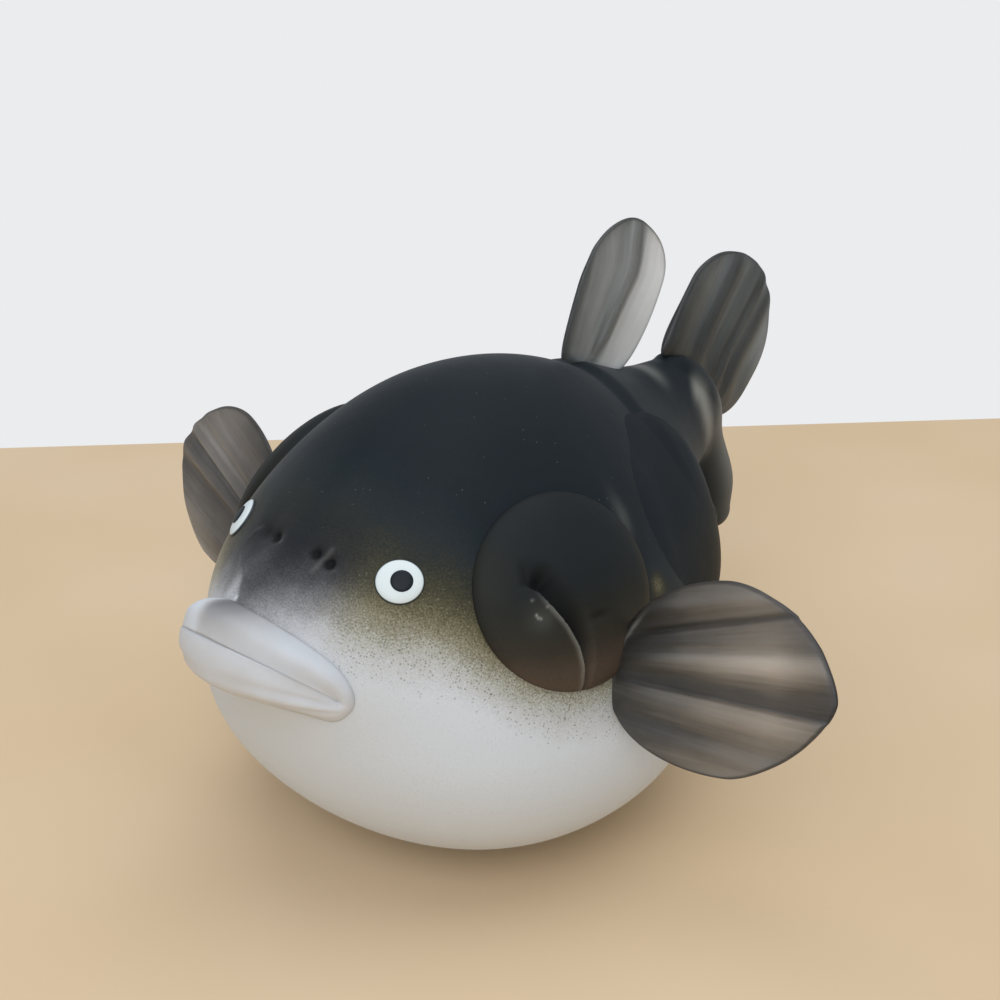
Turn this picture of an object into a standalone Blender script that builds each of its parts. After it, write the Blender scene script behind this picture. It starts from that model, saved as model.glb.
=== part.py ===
"""Pufferfish figurine of frosted art glass, resting on the small flat ground under its belly.

Metres, +Z up. The fish faces -Y and its left side is +X. The origin is the centre of the flat
on the belly, so the figurine stands on z = 0. Left and right sides are alike.
"""
import math

import bmesh
import bpy
from mathutils import Matrix, Vector
from mathutils.bvhtree import BVHTree

MM = 0.001
GAP = 0.3 * MM            # clearance that pieces fused in the real glass keep here
OBJECT_NAME = "glass_pufferfish"

# Blown body: an egg along Y whose section is widest low down, full in front and tapered behind.
BODY_FRONT = 50.0 * MM
BODY_REAR = 63.0 * MM
BODY_HALF_WIDTH = 47.5 * MM
BODY_HEIGHT = 94.5 * MM
BODY_MIDDLE_Z = 38.6 * MM
BELLY_SINK = 1.2 * MM     # ground off below z = 0 to make the flat
BELLY_SPREAD = 0.20
FRONT_FULLNESS = 0.22
REAR_TAPER = 0.28
BODY_SEGMENTS = 40
BODY_RINGS = 22
SNOUT_REACH = 11.0 * MM
SNOUT_Z = 58.0 * MM
SNOUT_SPREAD = (21.0 * MM, 15.0 * MM)
HEAD_CUT_Y = -31.5 * MM

# Lips: two rolls bowed round the snout, with their corners drawn down.
LIP_HALF_WIDTH = 17.8 * MM
LIP_FRONT_Y = -59.6 * MM
LIP_CORNER_BACK = 12.5 * MM
MOUTH_Z = 57.2 * MM
MOUTH_FROWN = 12.6 * MM
UPPER_LIP_RADIUS = 4.2 * MM
LOWER_LIP_RADIUS = 3.9 * MM
LIP_CORNER_THINNING = 0.93
LIP_STEPS = 18

# Eyes: a flat white button with a dark button for the pupil.
EYE = (8.9 * MM, 8.9 * MM, 1.3 * MM)
EYE_PLACE = Vector((20.3, -37.7, 68.5)) * MM
PUPIL = (4.5 * MM, 4.5 * MM, 0.9 * MM)
EYE_RINGS = 6
EYE_SEGMENTS = 18

# Round pads of dark glass pressed on the flanks: width along the flank, height, thickness.
FRONT_PAD = (38.5 * MM, 36.0 * MM, 4.5 * MM)
REAR_PAD = (38.0 * MM, 42.0 * MM, 5.0 * MM)
FRONT_PAD_LEFT = Vector((36.3, -11.5, 62.8)) * MM
FRONT_PAD_RIGHT = Vector((-35.0, -10.6, 65.0)) * MM
REAR_PAD_LEFT = Vector((31.0, 28.0, 62.0)) * MM
PAD_RINGS = 10
PAD_SEGMENTS = 24

# Tail stalk: oval sections from inside the body up to the root of the tail fin.
# Each is its centre (y, z), its tilt back from upright, its half height and its half width.
STALK_SECTIONS = (
    (36.0, 61.0, 0.0, 22.0, 20.0),
    (51.0, 63.0, 12.0, 18.0, 15.5),
    (63.0, 66.0, 28.0, 15.5, 11.0),
    (73.5, 70.3, 43.0, 14.3, 7.5),
)
STALK_SEGMENTS = 24
STALK_STEPS_PER_SECTION = 4

# Fins: ribbed paddles. Lengths run from the root, sunk a little into the body, to the tip.
FIN_SEGMENTS = 28
FIN_RINGS = 12
FIN_ROOT_FULLNESS = 1.25  # share of a fin's stated thickness at its root
FIN_TIP_THINNING = 0.6    # how much of that share is lost by the tip
# A pectoral fin's pose, as for the left side: root, sweep back, rise and lean of its top edge back.
PECTORAL_LEFT = (Vector((42.7, -5.7, 46.8)) * MM, math.radians(7.3), math.radians(11.9), math.radians(21.5))
PECTORAL_RIGHT = (Vector((43.4, -9.0, 47.0)) * MM, math.radians(12.5), math.radians(13.5), math.radians(17.0))
PECTORAL = dict(length=44.0 * MM, root=4.0 * MM, widest=17.2 * MM, widest_at=0.53,
                thick=3.4 * MM, ribs=4.0, rib_depth=1.1 * MM)
DORSAL_ROOT = Vector((0.0, 41.0, 82.0)) * MM
DORSAL_LEAN = math.radians(24.5)
DORSAL = dict(length=33.2 * MM, root=11.3 * MM, widest=14.8 * MM, widest_at=0.55,
              thick=3.2 * MM, ribs=2.0, rib_depth=0.9 * MM)
TAIL_ROOT = Vector((0.0, 74.3, 70.9)) * MM
TAIL_LEAN = math.radians(43.0)
TAIL = dict(length=33.0 * MM, root=15.0 * MM, widest=18.6 * MM, widest_at=0.42,
            thick=5.0 * MM, ribs=4.0, rib_depth=0.8 * MM)
ANAL_ROOT = Vector((0.0, 71.0, 61.0)) * MM
ANAL_LEAN = math.radians(180.0 - 26.0)
ANAL = dict(length=35.0 * MM, root=9.0 * MM, widest=12.5 * MM, widest_at=0.62,
            thick=6.0 * MM, ribs=1.0, rib_depth=0.0)


def blend(table, at):
    """Read a table of (place, value) pairs, easing smoothly from one pair to the next."""
    for (low, first), (high, second) in zip(table, table[1:]):
        if at <= high:
            share = max(0.0, (at - low) / (high - low))
            share = share * share * (3.0 - 2.0 * share)
            return first + (second - first) * share
    return table[-1][1]


def clear_scene():
    """Remove every object of the open scene."""
    for old in list(bpy.data.objects):
        bpy.data.objects.remove(old)


def new_collection(name):
    """Add a collection to the scene."""
    made = bpy.data.collections.new(name)
    bpy.context.scene.collection.children.link(made)
    return made


def glass(name, rgb, roughness):
    """A Principled material of one frosted glass colour."""
    made = bpy.data.materials.new(name)
    made.use_nodes = True
    shader = made.node_tree.nodes["Principled BSDF"]
    shader.inputs["Base Color"].default_value = (*rgb, 1.0)
    shader.inputs["Roughness"].default_value = roughness
    shader.inputs["Metallic"].default_value = 0.0
    return made


def object_from(mesh_builder, name, collection, material=None):
    """Turn a bmesh into a named object in a collection and free the bmesh."""
    mesh = bpy.data.meshes.new(name)
    mesh_builder.to_mesh(mesh)
    mesh_builder.free()
    mesh.shade_smooth()
    mesh.set_sharp_from_angle(angle=math.radians(40.0))
    made = bpy.data.objects.new(name, mesh)
    collection.objects.link(made)
    if material is not None:
        mesh.materials.append(material)
    return made


def as_cutter(made):
    """Mark an object as a tool that only cuts others."""
    made.hide_render = True
    made.display_type = "WIRE"
    return made


def cut_away(made, *cutters):
    """Take the cutters' volumes off an object with Boolean modifiers."""
    for cutter in cutters:
        step = made.modifiers.new("clear_" + cutter.name, "BOOLEAN")
        step.operation = "DIFFERENCE"
        step.solver = "EXACT"
        step.object = cutter


def flip_side(builder):
    """Mirror a bmesh from the fish's left side to its right side."""
    bmesh.ops.scale(builder, vec=(-1.0, 1.0, 1.0), verts=builder.verts)
    bmesh.ops.reverse_faces(builder, faces=builder.faces)
    return builder


def mirrored(made, name, collection):
    """Copy a left piece, as its modifiers leave it, to the fish's right side."""
    bpy.context.view_layer.update()
    evaluated = made.evaluated_get(bpy.context.evaluated_depsgraph_get())
    builder = bmesh.new()
    builder.from_mesh(evaluated.to_mesh())
    return object_from(flip_side(builder), name, collection, made.data.materials[0])


def swell(builder, grow):
    """Move a closed mesh outward along its normals."""
    bmesh.ops.recalc_face_normals(builder, faces=builder.faces)
    builder.normal_update()
    for vert in builder.verts:
        vert.co += vert.normal * grow


def body_builder(grow=0.0):
    """The egg of the body with its snout, as a reshaped sphere, grown outward by grow."""
    builder = bmesh.new()
    bmesh.ops.create_uvsphere(builder, u_segments=BODY_SEGMENTS, v_segments=BODY_RINGS, radius=1.0,
                              matrix=Matrix.Rotation(math.radians(90.0), 4, "X"))
    for vert in builder.verts:
        along = vert.co.y
        if vert.co.z > 0.0:
            rise = BODY_HEIGHT - BODY_MIDDLE_Z
        else:
            rise = BODY_MIDDLE_Z + BELLY_SINK
        if along < 0.0:
            length, fullness = BODY_FRONT, FRONT_FULLNESS
        else:
            length, fullness = BODY_REAR, -REAR_TAPER
        x = vert.co.x * BODY_HALF_WIDTH * (1.0 - BELLY_SPREAD * vert.co.z) * (1.0 + fullness * along ** 2)
        y = along * length
        z = BODY_MIDDLE_Z + vert.co.z * rise
        if along < 0.0:
            spread_x, spread_z = SNOUT_SPREAD
            y -= SNOUT_REACH * math.exp(-((x / spread_x) ** 2) - ((z - SNOUT_Z) / spread_z) ** 2)
        vert.co = (x, y, z)
    swell(builder, grow)
    return builder


def keep_side(builder, point, normal):
    """Cut a closed mesh by a plane, drop what the normal points at and close the cut."""
    geometry = builder.verts[:] + builder.edges[:] + builder.faces[:]
    cut = bmesh.ops.bisect_plane(builder, geom=geometry, dist=1e-7, plane_co=point, plane_no=normal,
                                 clear_outer=True)
    rim = [item for item in cut["geom_cut"] if isinstance(item, bmesh.types.BMEdge)]
    bmesh.ops.edgeloop_fill(builder, edges=rim)
    bmesh.ops.recalc_face_normals(builder, faces=builder.faces)


def head(parts, material):
    """The front of the body, up to the thin cut behind the eyes."""
    builder = body_builder()
    keep_side(builder, (0.0, HEAD_CUT_Y - GAP / 2.0, 0.0), (0.0, 1.0, 0.0))
    keep_side(builder, (0.0, 0.0, 0.0), (0.0, 0.0, -1.0))
    return object_from(builder, "head", parts, material)


def trunk(parts, material):
    """The rest of the body, with the flat that it stands on."""
    builder = body_builder()
    keep_side(builder, (0.0, HEAD_CUT_Y + GAP / 2.0, 0.0), (0.0, -1.0, 0.0))
    keep_side(builder, (0.0, 0.0, 0.0), (0.0, 0.0, -1.0))
    return object_from(builder, "trunk", parts, material)


def wrapped_pad(surface, spot, facing, size, rings, segments, grow=0.0):
    """A lens that lies on a surface: its inner face follows it, its outer face is domed."""
    width, height, thickness = size
    across = Vector((0.0, 0.0, 1.0)).cross(facing).normalized()
    upward = facing.cross(across)
    half_width = width / 2.0 + grow
    half_height = height / 2.0 + grow
    builder = bmesh.new()
    bmesh.ops.create_uvsphere(builder, u_segments=segments, v_segments=rings, radius=1.0)
    for vert in builder.verts:
        flat_x, flat_y, lift = vert.co
        start = spot + across * (flat_x * half_width) + upward * (flat_y * half_height) + facing * width
        hit, normal, _, _ = surface.ray_cast(start, -facing)
        dome = math.sqrt(abs(lift)) if lift > 0.0 else 0.0
        vert.co = hit + normal * (GAP - 2.0 * grow + (thickness + 2.0 * grow + grow) * dome)
    return builder


def stalk_builder(grow=0.0):
    """The tail stalk as a loft through its tilted oval sections."""
    builder = bmesh.new()
    count = (len(STALK_SECTIONS) - 1) * STALK_STEPS_PER_SECTION
    columns = [[(index, section[column]) for index, section in enumerate(STALK_SECTIONS)]
               for column in range(5)]
    rings = []
    for step in range(count + 1):
        at = step / STALK_STEPS_PER_SECTION
        y, z, tilt, half_height, half_width = [blend(column, at) for column in columns]
        lean = math.radians(tilt)
        ring = []
        for segment in range(STALK_SEGMENTS):
            turn = 2.0 * math.pi * segment / STALK_SEGMENTS
            height = (half_height * MM + grow) * math.sin(turn)
            ring.append(builder.verts.new((
                (half_width * MM + grow) * math.cos(turn),
                y * MM - height * math.sin(lean),
                z * MM + height * math.cos(lean))))
        rings.append(ring)
    for low, high in zip(rings, rings[1:]):
        for segment in range(STALK_SEGMENTS):
            after = (segment + 1) % STALK_SEGMENTS
            builder.faces.new((low[segment], low[after], high[after], high[segment]))
    builder.faces.new(rings[0])
    builder.faces.new(rings[-1])
    bmesh.ops.recalc_face_normals(builder, faces=builder.faces)
    return builder


def fin_builder(place, shape, grow=0.0):
    """A ribbed paddle: a flattened sphere that runs from its root to its tip along local X."""
    builder = bmesh.new()
    bmesh.ops.create_uvsphere(builder, u_segments=FIN_SEGMENTS, v_segments=FIN_RINGS, radius=1.0,
                              matrix=Matrix.Rotation(math.radians(90.0), 4, "Y"))
    peak = shape["widest_at"]
    for vert in builder.verts:
        share = (vert.co.x + 1.0) / 2.0
        ring = math.hypot(vert.co.y, vert.co.z)
        at_pole = ring < 1e-6
        sideways = 0.0 if at_pole else vert.co.y / ring
        lift = 0.0 if at_pole else vert.co.z / ring
        if share < peak:
            spread = math.sqrt(1.0 - (1.0 - share / peak) ** 2)
            half = shape["root"] + (shape["widest"] - shape["root"]) * spread
        else:
            half = shape["widest"] * math.sqrt(max(0.0, 1.0 - ((share - peak) / (1.0 - peak)) ** 2))
        closing = min(1.0, ring * 3.0)
        thick = shape["thick"] / 2.0 * (FIN_ROOT_FULLNESS - FIN_TIP_THINNING * share) * closing
        wave = math.cos(math.pi * shape["ribs"] * sideways) * math.sin(math.pi * share)
        vert.co = (share * shape["length"], sideways * half, lift * thick + shape["rib_depth"] * 0.5 * wave)
    bmesh.ops.transform(builder, matrix=place, verts=builder.verts)
    swell(builder, grow)
    return builder


def frame_at(origin, along, across):
    """A matrix whose local X runs along a fin and whose local Y runs across it."""
    x_axis = along.normalized()
    y_axis = (across - x_axis * across.dot(x_axis)).normalized()
    z_axis = x_axis.cross(y_axis)
    turn = Matrix((x_axis, y_axis, z_axis)).transposed().to_4x4()
    return Matrix.Translation(origin) @ turn


def pectoral_builder(pose):
    """A pectoral fin of the left side: out sideways, its upper edge leaning back."""
    root, sweep, rise, lean = pose
    along = Vector((math.cos(sweep) * math.cos(rise), math.sin(sweep) * math.cos(rise), math.sin(rise)))
    up_edge = Vector((0.0, 0.0, 1.0)) - along * along.z
    place = frame_at(root, along, up_edge) @ Matrix.Rotation(-lean, 4, "X")
    return fin_builder(place, PECTORAL)


def upright_frame(origin, lean):
    """The frame of a fin in the middle plane that leans back from upright."""
    along = Vector((0.0, math.sin(lean), math.cos(lean)))
    return frame_at(origin, along, Vector((0.0, 1.0, 0.0)))


def lip(name, side, radius, parts, material, grow=0.0):
    """One lip: a tube bowed round the snout, thick in the middle and thin at its corners."""
    curve = bpy.data.curves.new(name, "CURVE")
    curve.dimensions = "3D"
    curve.bevel_depth = 1.0
    curve.bevel_resolution = 2
    curve.use_fill_caps = True
    line = curve.splines.new("POLY")
    line.points.add(LIP_STEPS)
    for step, point in enumerate(line.points):
        turn = math.radians(-90.0 + 180.0 * step / LIP_STEPS)
        fullness = math.sqrt(1.0 - LIP_CORNER_THINNING * math.sin(turn) ** 2)
        bow = 1.0 - math.cos(turn)
        point.co = (LIP_HALF_WIDTH * math.sin(turn),
                    LIP_FRONT_Y + LIP_CORNER_BACK * bow,
                    MOUTH_Z - MOUTH_FROWN * bow + side * (radius + GAP / 2.0) * fullness, 1.0)
        point.radius = radius * fullness + grow
    tube = bpy.data.objects.new(name + "_tube", curve)
    parts.objects.link(tube)
    bpy.context.view_layer.update()
    evaluated = tube.evaluated_get(bpy.context.evaluated_depsgraph_get())
    builder = bmesh.new()
    builder.from_mesh(evaluated.to_mesh())
    bmesh.ops.remove_doubles(builder, verts=builder.verts, dist=1e-6)
    bmesh.ops.recalc_face_normals(builder, faces=builder.faces)
    bpy.data.objects.remove(tube)
    return object_from(builder, name, parts, material)


def flank_pad(surface, place, size, grow=0.0):
    """One of the round pads pressed on the flanks."""
    spot, facing, _, _ = surface.find_nearest(place)
    return wrapped_pad(surface, spot, facing, size, PAD_RINGS, PAD_SEGMENTS, grow)


def pads(surface, parts, tools, material):
    """The four flank pads; gives the cutters that clear the pectoral fins from the front two."""
    rear = object_from(flank_pad(surface, REAR_PAD_LEFT, REAR_PAD), "rear_pad_left", parts, material)
    mirrored(rear, "rear_pad_right", parts)
    clears = {}
    for side, place in (("left", FRONT_PAD_LEFT), ("right", FRONT_PAD_RIGHT)):
        object_from(flank_pad(surface, place, FRONT_PAD), "front_pad_" + side, parts, material)
        clears[side] = as_cutter(object_from(flank_pad(surface, place, FRONT_PAD, GAP),
                                             "front_pad_clear_" + side, tools))
    return clears


def eyes(surface, parts, white, black):
    """White buttons on the cheeks with dark buttons for pupils."""
    spot, facing, _, _ = surface.find_nearest(EYE_PLACE)
    eye = object_from(wrapped_pad(surface, spot, facing, EYE, EYE_RINGS, EYE_SEGMENTS),
                      "eye_left", parts, white)
    mirrored(eye, "eye_right", parts)
    builder = bmesh.new()
    builder.from_mesh(eye.data)
    eye_surface = BVHTree.FromBMesh(builder)
    builder.free()
    pupil = object_from(wrapped_pad(eye_surface, spot, facing, PUPIL, EYE_RINGS, EYE_SEGMENTS),
                        "pupil_left", parts, black)
    mirrored(pupil, "pupil_right", parts)


def lips(body_clear, parts, tools, material):
    """Both lips, cut back to lie on the snout and clear of each other."""
    upper = lip("upper_lip", 1.0, UPPER_LIP_RADIUS, parts, material)
    lower = lip("lower_lip", -1.0, LOWER_LIP_RADIUS, parts, material)
    upper_clear = as_cutter(lip("upper_lip_clear", 1.0, UPPER_LIP_RADIUS, tools, material, GAP))
    cut_away(upper, body_clear)
    cut_away(lower, body_clear, upper_clear)


def pectoral_fins(body_clear, pad_clears, parts, material):
    """The two fins that stand out sideways."""
    left = object_from(pectoral_builder(PECTORAL_LEFT), "pectoral_fin_left", parts, material)
    cut_away(left, body_clear, pad_clears["left"])
    right = object_from(flip_side(pectoral_builder(PECTORAL_RIGHT)), "pectoral_fin_right", parts, material)
    cut_away(right, body_clear, pad_clears["right"])


def middle_fins(body_clear, stalk_clear, parts, tools, smoke, dark):
    """The dorsal, tail and anal fins, all in the middle plane."""
    dorsal = object_from(fin_builder(upright_frame(DORSAL_ROOT, DORSAL_LEAN), DORSAL),
                         "dorsal_fin", parts, smoke)
    cut_away(dorsal, body_clear, stalk_clear)
    tail_frame = upright_frame(TAIL_ROOT, TAIL_LEAN)
    tail = object_from(fin_builder(tail_frame, TAIL), "tail_fin", parts, smoke)
    cut_away(tail, stalk_clear)
    tail_clear = as_cutter(object_from(fin_builder(tail_frame, TAIL, GAP), "tail_clear", tools))
    anal = object_from(fin_builder(upright_frame(ANAL_ROOT, ANAL_LEAN), ANAL), "anal_fin", parts, dark)
    cut_away(anal, body_clear, stalk_clear, tail_clear)


def build():
    """Model every piece of the figurine."""
    clear_scene()
    parts = new_collection(OBJECT_NAME)
    tools = new_collection(OBJECT_NAME + "_cutters")

    belly_glass = glass("opal_glass", (0.60, 0.58, 0.56), 0.55)
    dark_glass = glass("dark_glass", (0.022, 0.028, 0.036), 0.5)
    smoke_glass = glass("smoke_glass", (0.18, 0.17, 0.16), 0.4)
    clear_glass = glass("frosted_clear_glass", (0.62, 0.62, 0.63), 0.5)
    white_glass = glass("white_glass", (0.85, 0.88, 0.88), 0.4)
    black_glass = glass("black_glass", (0.02, 0.03, 0.04), 0.4)

    body = body_builder()
    surface = BVHTree.FromBMesh(body)
    body.free()
    body_clear = as_cutter(object_from(body_builder(GAP), "body_clear", tools))
    head(parts, belly_glass)
    trunk(parts, belly_glass)
    stalk = object_from(stalk_builder(), "tail_stalk", parts, dark_glass)
    cut_away(stalk, body_clear)
    stalk_clear = as_cutter(object_from(stalk_builder(GAP), "stalk_clear", tools))

    pad_clears = pads(surface, parts, tools, dark_glass)
    eyes(surface, parts, white_glass, black_glass)
    lips(body_clear, parts, tools, clear_glass)
    pectoral_fins(body_clear, pad_clears, parts, smoke_glass)
    middle_fins(body_clear, stalk_clear, parts, tools, smoke_glass, dark_glass)


build()
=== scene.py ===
"""Looks of a pufferfish figurine of frosted art glass, resting on its belly.

The body is one blown bubble of opal glass with a dark casing over its back, drawn out behind into
the tail stalk and a hanging lobe. Four round pads, the lips, the eyes and four pressed fins were
laid on it hot, and the whole was etched to a satin. Sizes are in millimetres until a mesh is
written. The fish faces -Y and its left side is +X.
"""

import logging
import math
from dataclasses import dataclass
from enum import Enum
from typing import Callable

import bpy
import numpy as np
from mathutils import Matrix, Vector


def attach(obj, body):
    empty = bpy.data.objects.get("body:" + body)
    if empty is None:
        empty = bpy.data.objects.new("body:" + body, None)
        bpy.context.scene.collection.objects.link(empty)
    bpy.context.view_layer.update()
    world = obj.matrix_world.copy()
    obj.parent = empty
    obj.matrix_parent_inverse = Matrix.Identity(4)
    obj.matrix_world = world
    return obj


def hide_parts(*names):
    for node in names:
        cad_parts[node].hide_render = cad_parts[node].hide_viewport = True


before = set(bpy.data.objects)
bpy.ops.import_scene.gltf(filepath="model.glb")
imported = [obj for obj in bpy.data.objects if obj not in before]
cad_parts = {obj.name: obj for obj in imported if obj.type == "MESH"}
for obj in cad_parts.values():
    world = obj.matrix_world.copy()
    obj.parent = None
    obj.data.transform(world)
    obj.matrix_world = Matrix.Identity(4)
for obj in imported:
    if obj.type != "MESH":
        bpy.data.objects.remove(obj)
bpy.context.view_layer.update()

MM = 0.001
GLASS_IOR = 1.5
LOG = logging.getLogger("figurine")
Array = np.ndarray
Socket = bpy.types.NodeSocket
Tree = bpy.types.NodeTree
Material = bpy.types.Material
Piece = bpy.types.Object


# ---- small mathematics


def unit(vectors: Array) -> Array:
    """Scales vectors, one a row, to length one."""
    return vectors / np.maximum(np.linalg.norm(vectors, axis=-1, keepdims=True), 1e-12)


def ease(value: Array, low: float, high: float) -> Array:
    """Rises smoothly from 0 at low to 1 at high."""
    share = np.clip((value - low) / (high - low), 0.0, 1.0)
    return share * share * (3.0 - 2.0 * share)


def bell(value: Array, width: float) -> Array:
    """A bell of height 1 at value 0, with the given standard deviation."""
    return np.exp(-0.5 * (value / width) ** 2)


def gap_to(points: Array, spot: tuple, stretch: float | tuple = 1.0) -> Array:
    """Distance of each point from a spot, with the gaps stretched along the axes."""
    return np.linalg.norm((points - spot) * stretch, axis=1)


def soft_min(first: Array, second: Array, reach: float) -> Array:
    """The lower of two fields, rounded where they are within reach of each other."""
    near = np.maximum(reach - np.abs(first - second), 0.0) / reach
    return np.minimum(first, second) - near * near * reach * 0.25


def curve_through(at: Array, places: Array, values: Array) -> Array:
    """Reads a smooth curve through a table.

    Args:
        at: Places to read the curve at.
        places: Rising places of the table.
        values: The table's value at each place.

    Returns:
        The curve's value at each of the places asked for.
    """
    slopes = np.gradient(values, places)
    index = np.clip(np.searchsorted(places, at) - 1, 0, len(places) - 2)
    span = places[index + 1] - places[index]
    share = np.clip((at - places[index]) / span, 0.0, 1.0)
    square, cube = share ** 2, share ** 3
    return ((2 * cube - 3 * square + 1) * values[index]
            + (cube - 2 * square + share) * span * slopes[index]
            + (3 * square - 2 * cube) * values[index + 1]
            + (cube - square) * span * slopes[index + 1])


def beside_line(points: Array, line: Array) -> tuple[Array, Array, Array]:
    """Measures flat points against a line of straight steps.

    Args:
        points: Flat points, one a row.
        line: The line's corners, one a row.

    Returns:
        Each point's distance from the line, its signed distance (positive on the line's left), and
        the share of the line's length at its nearest place.
    """
    best = np.full(len(points), 1e9)
    signed = np.zeros(len(points))
    share = np.zeros(len(points))
    lengths = np.linalg.norm(np.diff(line, axis=0), axis=1)
    done = 0.0
    for start, stop, length in zip(line[:-1], line[1:], lengths):
        step = (stop - start) / length
        offset = points - start
        along = np.clip(offset @ step, 0.0, length)
        gap = offset - along[:, None] * step
        distance = np.linalg.norm(gap, axis=1)
        side = step[0] * offset[:, 1] - step[1] * offset[:, 0]
        closer = distance < best
        best = np.where(closer, distance, best)
        signed = np.where(closer, np.copysign(distance, side), signed)
        share = np.where(closer, (done + along) / lengths.sum(), share)
        done += length
    return best, signed, share


# ---- meshes


def deselect() -> None:
    """Leaves object mode with nothing selected."""
    if bpy.context.object and bpy.context.object.mode != "OBJECT":
        bpy.ops.object.mode_set(mode="OBJECT")
    bpy.ops.object.select_all(action="DESELECT")


def activate(piece: Piece) -> None:
    """Makes one object the only selected and active one."""
    deselect()
    piece.select_set(True)
    bpy.context.view_layer.objects.active = piece


def points_of(piece: Piece) -> Array:
    """Reads a mesh's points in millimetres, one a row."""
    flat = np.empty(len(piece.data.vertices) * 3)
    piece.data.vertices.foreach_get("co", flat)
    return flat.reshape(-1, 3) / MM


def set_points(piece: Piece, points: Array) -> None:
    """Moves a mesh's points to places in millimetres."""
    piece.data.vertices.foreach_set("co", (points * MM).ravel())
    piece.data.update()


def set_mark(piece: Piece, name: str, values: Array) -> None:
    """Stores one number for each point of a mesh, for its material to read."""
    layer = piece.data.attributes.new(name, "FLOAT", "POINT")
    layer.data.foreach_set("value", values.astype(np.float32))


def ball(name: str, segments: int, rings: int) -> Piece:
    """Adds a sphere with a radius of one millimetre, to be drawn out into a piece."""
    deselect()
    bpy.ops.mesh.primitive_uv_sphere_add(segments=segments, ring_count=rings, radius=MM)
    piece = bpy.context.object
    piece.name = piece.data.name = name
    return piece


def face_outwards(piece: Piece) -> None:
    """Turns a closed mesh's faces outwards and shades it smooth."""
    activate(piece)
    bpy.ops.object.mode_set(mode="EDIT")
    bpy.ops.mesh.select_all(action="SELECT")
    bpy.ops.mesh.normals_make_consistent(inside=False)
    bpy.ops.object.mode_set(mode="OBJECT")
    bpy.ops.object.shade_smooth()


def apply_modifier(piece: Piece, kind: str, **settings: object) -> None:
    """Adds a modifier, sets it and applies it."""
    activate(piece)
    modifier = piece.modifiers.new(kind.lower(), kind)
    for key, value in settings.items():
        setattr(modifier, key, value)
    bpy.ops.object.modifier_apply(modifier=modifier.name)


def dress(piece: Piece, material: Material, slot: str, *nodes: str) -> None:
    """Gives a finished piece its material and body, and hides the nodes it stands for."""
    piece.data.materials.clear()
    piece.data.materials.append(material)
    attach(piece, "root")
    if nodes:
        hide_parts(*nodes)
    LOG.info("%s: %d faces", piece.name, len(piece.data.polygons))


# ---- material nodes


def linear(code: str) -> tuple[float, float, float, float]:
    """Turns an sRGB hex colour into linear light."""
    parts = [int(code[i:i + 2], 16) / 255.0 for i in (1, 3, 5)]
    return (*[p / 12.92 if p <= 0.04045 else ((p + 0.055) / 1.055) ** 2.4 for p in parts], 1.0)


def add(tree: Tree, kind: str, settings: dict, links: dict) -> bpy.types.Node:
    """Adds a node with its settings and its inputs.

    Args:
        tree: The node tree to add to.
        kind: The node's type name.
        settings: Properties by name; "stops" gives a colour ramp its (place, hex colour) pairs.
        links: Inputs by name or number, each a socket to link from or a value to set.

    Returns:
        The new node.
    """
    node = tree.nodes.new(kind)
    for key, value in settings.items():
        if key == "stops":
            marks = node.color_ramp.elements
            while len(marks) < len(value):
                marks.new(1.0)
            for mark, (place, code) in zip(marks, value):
                mark.position = place
                mark.color = linear(code)
        else:
            setattr(node, key, value)
    for key, value in links.items():
        if isinstance(value, Socket):
            tree.links.new(value, node.inputs[key])
        else:
            node.inputs[key].default_value = value
    return node


@dataclass(frozen=True)
class Finish:
    """What every finish shares: its name, its shine and its etched surface."""

    name: str
    roughness: float = 0.5
    specular: float = 0.4
    uneven: float = 0.04         # how far the roughness drifts either way
    scatter: float = 0.0         # share of the light that spreads inside the glass
    scatter_reach: float = 2.0   # millimetres that it spreads
    grit: float = 0.5            # width of the etched grit in millimetres
    depth: float = 0.012         # depth of the etched grit in millimetres
    wave: float = 9.0            # width of the slow waves of hand-worked glass in millimetres
    swell: float = 0.2           # depth of the slow waves in millimetres

    def shader(self) -> tuple[Tree, bpy.types.Node, Socket]:
        """Makes the material and its satin surface.

        Returns:
            The material's node tree, its Principled shader and its object coordinates.
        """
        material = bpy.data.materials.new(self.name)
        material.use_nodes = True
        tree = material.node_tree
        surface = tree.nodes["Principled BSDF"]
        for socket, value in (
                ("Specular IOR Level", self.specular), ("IOR", GLASS_IOR),
                ("Subsurface Weight", self.scatter), ("Subsurface Radius", (1.0, 1.0, 1.0)),
                ("Subsurface Scale", self.scatter_reach * MM)):
            surface.inputs[socket].default_value = value
        place = add(tree, "ShaderNodeTexCoord", {}, {}).outputs["Object"]
        slow, fine = [add(tree, "ShaderNodeTexNoise", {}, {
            "Vector": place, "Scale": 1.0 / (width * MM), "Detail": detail}).outputs["Fac"]
            for width, detail in ((self.wave, 2.0), (self.grit, 1.0))]
        low = add(tree, "ShaderNodeBump", {}, {
            "Height": slow, "Distance": self.swell * MM, "Strength": 1.0})
        high = add(tree, "ShaderNodeBump", {}, {
            "Height": fine, "Distance": self.depth * MM, "Strength": 1.0,
            "Normal": low.outputs["Normal"]})
        tree.links.new(high.outputs["Normal"], surface.inputs["Normal"])
        spread = add(tree, "ShaderNodeMapRange", {}, {
            "Value": slow, "From Min": 0.3, "From Max": 0.7,
            "To Min": self.roughness - self.uneven, "To Max": self.roughness + self.uneven})
        tree.links.new(spread.outputs["Result"], surface.inputs["Roughness"])
        return tree, surface, place


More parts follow.
